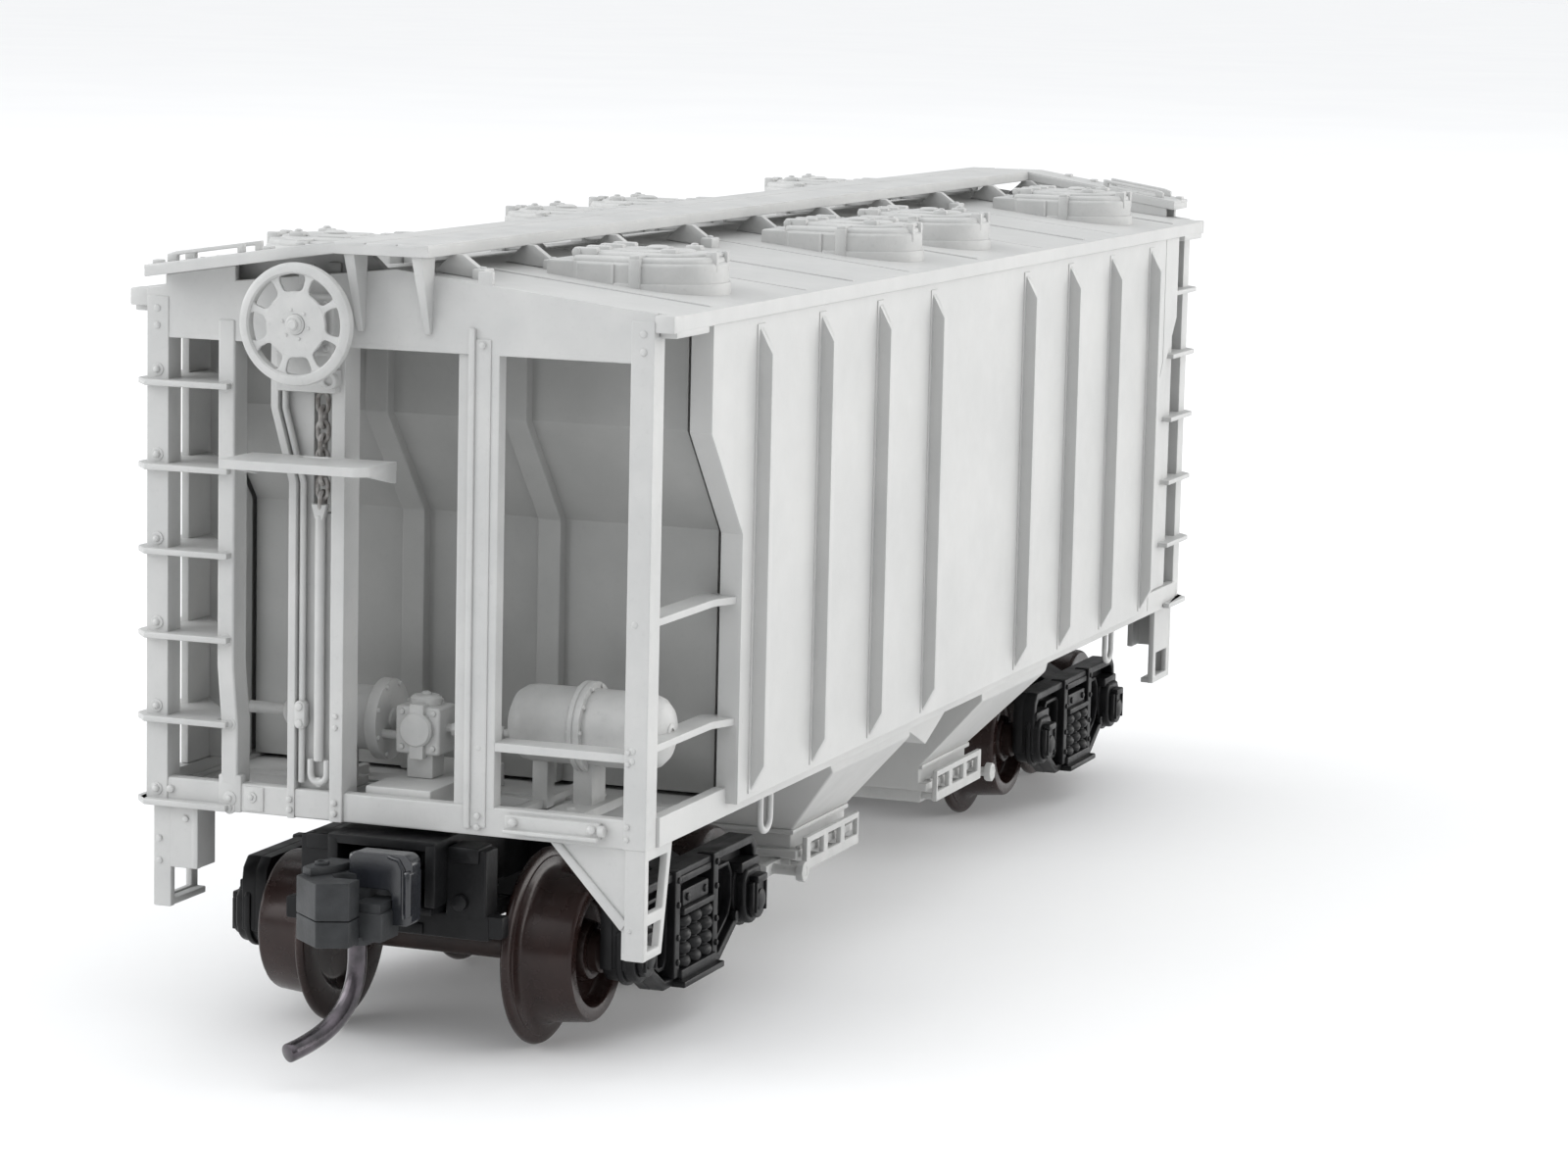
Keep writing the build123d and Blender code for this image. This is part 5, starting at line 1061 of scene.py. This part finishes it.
def inset(points, distance):
    """The outline moved inwards; the points run anticlockwise."""
    out = []
    count = len(points)
    for k in range(count):
        p, q, r = (Vector(points[(k + d) % count]) for d in (-1, 0, 1))
        one, two = (q - p).normalized(), (r - q).normalized()
        normal_one, normal_two = Vector((-one.y, one.x)), Vector((-two.y, two.x))
        bisector = (normal_one + normal_two).normalized()
        out.append(tuple(q + bisector * (distance / max(0.4, bisector.dot(normal_one)))))
    return out


def side_frame_shape(side):
    """A cast truck side: open frame with broad flanges, coil springs, plank and journal boxes."""
    shape = Shape()
    cx = -TRUCK_X
    half = HALF_WHEELBASE
    yi, yo = side * 6.5, side * 7.35
    outline = [(-half - 0.95, 4.9), (-half - 0.95, 3.1), (-half + 0.9, 2.7), (-2.7, 1.62), (2.7, 1.62)]
    outline += [(half - 0.9, 2.7), (half + 0.95, 3.1), (half + 0.95, 4.9), (half + 0.86, 5.4)]
    outline += [(half + 0.5, 5.78), (-half - 0.5, 5.78), (-half - 0.86, 5.4)]
    holes = []
    for end in (-1, 1):
        window = [(3.95, 3.15), (4.2, 3.7), (4.15, 4.6), (3.85, 4.95), (2.4, 4.95), (2.2, 4.8)]
        window += [(2.2, 2.7), (2.4, 2.45), (2.8, 2.45)]
        holes.append([(cx + end * x, z) for x, z in window])
    holes.append([(cx - 1.6, 2.2), (cx + 1.6, 2.2), (cx + 1.6, 4.98), (cx - 1.6, 4.98)])
    shape.prism_y([(cx + x, z) for x, z in outline], yi, side * 6.95, 0.06, holes)
    rim = [(cx + x, z) for x, z in inset(outline, 0.34)]
    shape.prism_y([(cx + x, z) for x, z in outline], side * 6.9, yo + side * 0.14, 0.08, [rim], 3)
    for end, edge in ((-1, holes[0]), (1, holes[1])):
        grown = inset(edge[::end], -0.16)[::end]
        shape.prism_y(grown, side * 6.9, yo - side * 0.05, 0.04, [edge])
        shape.block(cx + end * 1.62, cx + end * 2.12, side * 6.9, side * 7.62, 1.9, 5.84, 0.08)
        for z in (2.5, 3.4, 4.6, 5.5):
            shape.bolt((cx + end * 1.87, side * 7.62, z), (0, side, 0), 0.12, 0.09)
    for x in (-1.05, 0.0, 1.05):
        coil = []
        for k in range(4):
            base = k * 0.5
            coil += [(0.3, base), (0.42, base + 0.08), (0.47, base + 0.2), (0.47, base + 0.27),
                     (0.42, base + 0.39), (0.3, base + 0.46)]
        shape.lathe([(0, 0)] + coil + [(0, coil[-1][1])], (cx + x, side * 7.3, 2.15), Z_AXIS, 24)
    shape.block(cx - 1.95, cx + 1.95, side * 6.9, side * 7.98, 1.6, 1.84, 0.06)
    shape.block(cx - 1.7, cx + 1.7, side * 6.9, side * 7.75, 1.8, 2.2, 0.06)
    shape.block(cx - 1.5, cx + 1.5, side * 6.9, side * 7.72, 4.15, 4.4, 0.06)
    shape.block(cx - 1.25, cx + 1.25, side * 6.9, side * 7.55, 4.38, 5.02, 0.08)
    shape.block(cx - 1.5, cx + 1.5, side * 6.9, side * 7.56, 5.28, 5.56, 0.06)
    for x in (-0.85, 0.85):
        shape.bolt((cx + x, side * 7.55, 4.72), (0, side, 0), 0.15, 0.1)
    for end in (-1, 1):
        jx = cx + end * half
        box = arc(jx, 3.45, 0.92, 180, 360, 14)
        box += [(jx + 0.92, 4.3), (jx + 0.66, 4.66), (jx - 0.66, 4.66), (jx - 0.92, 4.3)]
        shape.prism_y(box, yi, side * 7.75, 0.12, (), 3)
        collar = [(jx + (x - jx) * 1.14, 3.55 + (z - 3.55) * 1.12) for x, z in box]
        shape.prism_y(collar, side * 7.1, side * 7.35, 0.07)
        lid = arc(jx, 3.45, 0.7, 180, 360, 12) + [(jx + 0.7, 4.2), (jx - 0.7, 4.2)]
        shape.prism_y(lid, side * 7.7, side * 8.0, 0.08)
        shape.block(jx - 0.5, jx + 0.5, side * 7.65, side * 8.1, 4.1, 4.4, 0.07)
        shape.lathe([(0.4, 0), (0.4, 0.09), (0.3, 0.14), (0, 0.15)], (jx, side * 7.97, 3.45), (0, side, 0),
                    24)
        for dx in (-0.46, 0.46):
            shape.block(jx + dx - 0.06, jx + dx + 0.06, side * 7.9, side * 8.08, 3.0, 4.15, 0.03)
        shape.block(jx - 0.9, jx + 0.9, side * 6.9, side * 7.6, 4.55, 4.95, 0.06)
        shape.rod((jx - end * 1.15, side * 7.3, 3.0), (jx - end * 1.15, side * 7.55, 3.0), 0.2, 14)
    return shape


def truck_shape():
    """Side frames, bolster, brake beams and coupler pocket of the B end's truck."""
    shape = Shape()
    cx = -TRUCK_X
    shape.join(side_frame_shape(-1)).join(side_frame_shape(1))
    bolster = [(-6.6, 4.5), (-6.6, 5.6), (-4.0, 7.1), (4.0, 7.1), (6.6, 5.6), (6.6, 4.5), (3.0, 4.2),
               (-3.0, 4.2)]
    shape.prism_x(bolster, cx - 1.35, cx + 1.35, 0.09)
    shape.collar(0.96, 2.3, 1.08, (cx, 0, 6.9), Z_AXIS, 56, 0.04)
    shape.block(-28.5, cx, -1.6, 1.6, 5.3, 7.3, 0.08)
    mouth, back = -34.15, -28.3
    shape.block(mouth, back, -2.05, 2.05, 7.55, 7.9, 0.07)
    for side in (-1, 1):
        shape.block(mouth, back, side * 1.65, side * 2.05, 5.6, 7.8, 0.06)
        shape.block(-33.2, -32.2, side * 2.0, side * 3.55, 4.85, 7.56, 0.1)
        shape.block(-33.3, -32.1, side * 2.15, side * 3.3, 7.1, 7.66, 0.08)
        shape.rod((-33.2, side * 2.6, 5.7), (-33.42, side * 2.6, 5.7), 0.28, 20)
        shape.block(-33.1, cx - 7.2, side * 2.9, side * 3.4, 5.0, 5.6, 0.08)
    shape.block(back - 0.5, back, -2.05, 2.05, 5.6, 7.8, 0.05)
    shape.rod((-POST_X, 0, 5.3), (-POST_X, 0, 7.8), 0.45)
    shape.block(-33.2, -32.2, -3.66, 3.66, 4.4, 5.3, 0.1)
    shape.block(-33.15, -32.55, -4.15, 4.15, 4.5, 5.28, 0.08)
    shape.block(-33.3, -32.9, -1.2, 1.2, 4.45, 4.85, 0.06)
    return shape


def pocket_lid_shape():
    shape = Shape()
    plan = [(-34.1, -1.9), (-28.42, -1.9), (-28.42, 1.9), (-34.1, 1.9)]
    hole = arc(-POST_X, 0, 0.46, 0, 360, 24)[:-1]
    shape.prism_z(plan, 5.3, 5.58, 0.05, [hole])
    shape.block(-30.1, -28.8, -1.3, 1.3, 5.3, 5.62, 0.04)
    return shape


# ---------------------------------------------------------------- couplers
KNUCKLE = ((-35.2, 1.42), (-37.25, 1.66), (-38.32, 0.4), (-37.85, -0.62), (-36.95, -0.58), (-37.08, 0.3),
           (-36.55, 0.68), (-36.2, 0.35), (-36.0, -0.5), (-35.2, -0.5))


def coupler_upper_shape():
    """Shank ring, shank and the tall upper part of the knuckle."""
    shape = Shape()
    shape.collar(0.51, 1.0, 0.85, (-POST_X, 0, 6.57), Z_AXIS, 48, 0.03)
    shape.block(-35.4, -POST_X - 0.8, -0.5, 0.5, 6.57, 7.42, 0.07)
    shape.prism_z(KNUCKLE, KNUCKLE_SEAM_Z + 0.012, 7.04, 0.05)
    rear = [(-35.2, 1.4), (-36.95, 1.6), (-37.35, 1.1), (-36.7, 0.75), (-36.1, 0.5), (-35.2, 0.4)]
    shape.prism_z(rear, 6.95, 7.3, 0.09)
    shape.collar(0.14, 0.26, 0.14, (-36.45, 1.1, 7.28), Z_AXIS, 24, 0.03)
    return shape


def coupler_guard_shape():
    """The tall guard arm, with rounded corners and a folded edge."""
    shape = Shape()
    face = [(0.25, 6.55), (0.25, 7.55)] + arc(-0.1, 7.5, 0.3, 45, 90, 4) + arc(-1.75, 7.45, 0.35, 90, 180, 8)
    face += [(-2.1, 5.6)] + arc(-1.85, 5.6, 0.25, 180, 270, 6) + [(-1.35, 5.35), (-1.35, 6.4), (-1.2, 6.55)]
    shape.prism([(-36.12, y, z) for y, z in face], (0.72, 0, 0), 0.1, (), 4)
    shape.tube([(-36.14, -1.78, 5.6), (-36.14, -1.78, 7.3), (-36.12, -1.6, 7.62), (-36.1, -1.2, 7.72)],
               0.075, 12)
    shape.block(-36.3, -35.3, -2.12, -1.86, 5.7, 7.3, 0.11, 3)
    shape.block(-35.5, -34.9, -0.6, 0.6, 6.7, 7.6, 0.15, 3)
    return shape


def coupler_lower_shape():
    """The lower half: shank, knuckle foot and chin with the pin socket."""
    shape = Shape()
    shape.collar(0.51, 1.0, 0.8, (-POST_X, 0, 5.67), Z_AXIS, 48, 0.03)
    shape.block(-35.4, -POST_X - 0.8, -0.5, 0.5, 5.67, 6.47, 0.07)
    shape.prism_z(KNUCKLE, 4.82, KNUCKLE_SEAM_Z - 0.012, 0.05)
    shape.prism_z([(-35.4, -1.3), (-35.4, -0.3), (-36.9, -0.3), (-36.9, -1.3)], 5.2, 6.2, 0.06)
    shape.block(-37.0, -35.6, -1.4, -0.2, 4.9, 5.9, 0.07)
    shape.collar(0.34, 0.52, 0.3, (-36.62, -0.35, 4.76), Z_AXIS, 28, 0.03)
    return shape


def bezier(points, steps):
    """Points along a cubic curve."""
    a, b, c, d = (Vector(p) for p in points)
    out = []
    for k in range(steps + 1):
        t = k / steps
        out.append(a * (1 - t) ** 3 + b * 3 * t * (1 - t) ** 2 + c * 3 * t * t * (1 - t) + d * t ** 3)
    return out


def trip_pin_shape():
    shape = Shape()
    top = Vector((-36.62, -0.35, 5.6))
    knee = Vector((-36.62, -0.35, 4.3))
    tip = Vector((-39.22, 0.96, 1.34))
    path = [top, (top + knee) / 2] + bezier((knee, (-36.62, -0.35, 2.5), (-37.6, 0.14, 1.72), tip), 22)
    shape.tube(path, 0.335, 22, bevel=0.06)
    return shape


def spring_shape():
    """The centring spring."""
    shape = Shape()
    start, length, turns = -29.93, 0.88, 4
    steps = turns * 16
    coil = arc(0, 6.6, 0.5, 0, 360 * turns, steps)
    shape.tube([(start + length * k / steps, y, z) for k, (y, z) in enumerate(coil)], 0.1, 8)
    return shape


def bolster_pin_shape():
    shape = Shape()
    x = -TRUCK_X
    profile = [(0, 0), (1.5, 0), (1.6, 0.1), (1.6, 0.5), (1.52, 0.57), (0.9, 0.57), (0.9, 5.9)]
    profile += [(0.82, 6.0), (0, 6.0)]
    shape.lathe(profile, (x, 0, 3.55), Z_AXIS, 48)
    return shape


# ---------------------------------------------------------------- assembly of the pieces
def build():
    """Makes every piece, in this order."""
    roof = Shape().join(roof_shape()).join(roof_end_shape()).join(roof_end_shape(), HALF_TURN)
    body_piece("roof_shell", roof, GREY_SHEET, "roof")
    body_piece("side_panel_right", side_shape(), GREY_SHEET, "side_right")
    body_piece("side_panel_left", Shape().join(side_shape(), MIRROR_Y), GREY_SHEET, "side_left")
    body_piece("end_cage_b", end_frame_shape(True), GREY, "end_frame_b")
    body_piece("end_cage_a", Shape().join(end_frame_shape(False), HALF_TURN), GREY, "end_frame_a")
    # the bulkheads take the darker grey, which is painted shade, not a different paint
    both_ends("bulkhead_sheet", bulkhead_shape(), "car_body", GREY_PAINTED_SHADE, ["bulkhead"])
    body_piece("underframe_plates", underframe_shape(), GREY, "underframe")
    both_ends("hopper_funnel", bay_shape(), "car_body", GREY_SHEET, ["hopper_bay"])
    both_ends("gate_assembly", gate_shape(), "car_body", GREY_CAST, ["outlet_gate"])
    board = Shape().join(board_shape()).join(lateral_shape()).join(lateral_shape(), HALF_TURN)
    body_piece("running_boards", board, GREY, "running_board")
    body_piece("board_brackets", support_shape(), GREY, "board_supports")
    body_piece("hatch_covers_right", hatches_shape(-1), GREY_CAST, "hatches_right")
    body_piece("hatch_covers_left", hatches_shape(1), GREY_CAST, "hatches_left")
    body_piece("corner_ladder_rungs", twice(ladder_shape()), GREY, "corner_ladders")
    body_piece("grab_bars", twice(grab_shape()), GREY, "grab_irons")
    body_piece("steps", twice(step_shape()), GREY, "stirrup_steps")
    body_piece("uncoupling_levers", twice(lever_shape()), GREY, "uncoupling_bars")
    body_piece("rope_loops", loop_shape(), GREY, "roping_loops")
    body_piece("brake_gear_box", brake_box_shape(), GREY_CAST, "brake_box")
    piece("brake_hand_wheel", brake_wheel_shape(), "brake_wheel", GREY_CAST, ["brake_wheel"])
    body_piece("brake_chain_links", chain_shape(), CHAIN, "brake_chain")
    body_piece("brake_rod_clevis", brake_rod_shape(), GREY, "brake_rod")
    body_piece("brake_platform", brake_step_shape(), GREY, "brake_step")
    body_piece("reservoir_drum", reservoir_shape(), GREY_CAST, "air_reservoir")
    body_piece("triple_valve", valve_shape(), GREY_CAST, "control_valve")
    body_piece("brake_cylinder_drum", cylinder_shape(), GREY_CAST, "brake_cylinder")
    body_piece("brake_pipes", pipes_shape(), GREY_CAST, "air_pipes")
    both_ends("truck_casting", truck_shape(), "truck", BLACK, ["truck_frame"])
    both_ends("pocket_cover", pocket_lid_shape(), "truck", BLACK, ["pocket_lid"])
    both_ends("centring_spring", spring_shape(), "truck", STEEL, ["coupler_spring"])
    for place, x in (("outer", -TRUCK_X - HALF_WHEELBASE), ("inner", -TRUCK_X + HALF_WHEELBASE)):
        wheelset = place + "_wheelset"
        both_ends(place + "_wheel_discs", wheel_shape(x), wheelset, WHEEL,
                  [place + "_wheels"])
        both_ends(place + "_axle_bar", axle_shape(x), wheelset, AXLE, [place + "_axle"])
    both_ends("knuckle_upper", coupler_upper_shape(), "coupler", COUPLER, ["coupler_upper"])
    both_ends("guard_arm", coupler_guard_shape(), "coupler", GUARD)
    both_ends("knuckle_lower", coupler_lower_shape(), "coupler_jaw", COUPLER, ["coupler_lower"])
    both_ends("trip_hook", trip_pin_shape(), "coupler_jaw", PIN, ["trip_pin"])
    both_ends("truck_screw", bolster_pin_shape(), "car_body", BLACK, ["bolster_pin"])
    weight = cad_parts["steel_weight"]
    weight.data.materials.clear()
    weight.data.materials.append(STEEL)


build()


# ---------------------------------------------------------------- stage, lights and camera
FLOOR_RADIUS = 6.0
FLOOR_GAP = 0.00002
SKY_LOW = 0.02          # at the horizon
SKY_HIGH = 1.62         # overhead
SKY_SEEN = 0.93         # the plain backdrop that the camera sees
LIGHT_DISTANCE = 0.75
LIGHT_TARGET = Vector((0, 0, 0.014))


def stage_floor():
    """A wide, flat, pale floor."""
    bm = bmesh.new()
    bm.faces.new([bm.verts.new((x, y, 0.0)) for x, y in arc(0.0, 0.0, FLOOR_RADIUS, 0, 357, 119)])
    mesh = bpy.data.meshes.new("floor")
    bm.to_mesh(mesh)
    bm.free()
    floor = bpy.data.objects.new("floor", mesh)
    bpy.context.scene.collection.objects.link(floor)
    floor.location = (0, 0, cad_bounds[0].z - FLOOR_GAP)
    pale = finish_material("pale_floor", (0.79, 0.79, 0.795), (0.81, 0.81, 0.81), 0.6, 0.05, 3.0, 0.002,
                           mottle=60.0)
    tree = pale.node_tree
    feed(tree, tree.nodes["Principled BSDF"], Emission_Color=(1, 1, 1, 1), Emission_Strength=0.1)
    mesh.materials.append(pale)


def area_light(name, azimuth, elevation, size, power, colour):
    """A soft panel that faces the car from a compass direction: 0 is -Y, 90 is +X."""
    light = bpy.data.lights.new(name, "AREA")
    light.shape = "RECTANGLE"
    light.size, light.size_y = size
    light.energy = power
    light.color = colour
    obj = bpy.data.objects.new(name, light)
    bpy.context.scene.collection.objects.link(obj)
    a, e = math.radians(azimuth), math.radians(elevation)
    away = Vector((math.sin(a) * math.cos(e), -math.cos(a) * math.cos(e), math.sin(e)))
    obj.location = LIGHT_TARGET + away * LIGHT_DISTANCE
    obj.rotation_euler = (-away).to_track_quat("-Z", "Y").to_euler()


def lights():
    """A sky that is bright overhead and dim at the horizon, and four soft panels."""
    world = bpy.data.worlds.new("studio")
    bpy.context.scene.world = world
    world.use_nodes = True
    tree = world.node_tree
    background = tree.nodes["Background"]
    background.inputs["Color"].default_value = (0.975, 0.988, 1.0, 1)
    direction = node(tree, "TexCoord").outputs["Generated"]
    up = node(tree, "SeparateXYZ", Vector=direction).outputs["Z"]
    height = node(tree, "MapRange", To_Min=SKY_LOW, To_Max=SKY_HIGH, Value=up)
    seen = node(tree, "Mix")
    path = node(tree, "LightPath")
    feed(tree, seen, Factor=path.outputs["Is Camera Ray"], A=height.outputs["Result"], B=SKY_SEEN)
    feed(tree, background, Strength=seen.outputs["Result"])
    area_light("side_panel_light", 45, 10, (0.6, 0.4), 2.4, (1.0, 0.99, 0.97))
    area_light("cage_light", 7, 12, (0.24, 0.4), 1.1, (1.0, 0.995, 0.985))
    area_light("end_panel_light", 232, 28, (0.6, 0.6), 1.7, (0.97, 0.985, 1.0))
    area_light("left_light", 195, 20, (0.6, 0.4), 2.1, (1.0, 1.0, 1.0))
    bpy.context.scene.view_settings.view_transform = "Standard"


def camera():
    """The photograph's viewpoint, worked out from the car's measured corners."""
    place = Vector((-168.683, -64.590, 38.127)) * MM
    yaw, pitch, roll = -1.214777, -0.141977, 0.022530
    focal_px, width_px, sensor = 4495.934, 1600.0, 36.0
    forward = Vector((math.sin(-yaw) * math.cos(pitch), math.cos(yaw) * math.cos(pitch), math.sin(pitch)))
    right = forward.cross(Vector(Z_AXIS)).normalized()
    up = right.cross(forward)
    right_rolled = right * math.cos(roll) + up * math.sin(roll)
    up_rolled = up * math.cos(roll) - right * math.sin(roll)
    data = bpy.data.cameras.new("camera")
    data.sensor_width = sensor
    data.lens = focal_px / width_px * sensor
    data.clip_start = 0.005
    data.clip_end = 20.0
    obj = bpy.data.objects.new("camera", data)
    bpy.context.scene.collection.objects.link(obj)
    basis = Matrix((right_rolled, up_rolled, -forward)).transposed().to_4x4()
    obj.matrix_world = Matrix.Translation(place) @ basis
    bpy.context.scene.camera = obj


stage_floor()
lights()
camera()
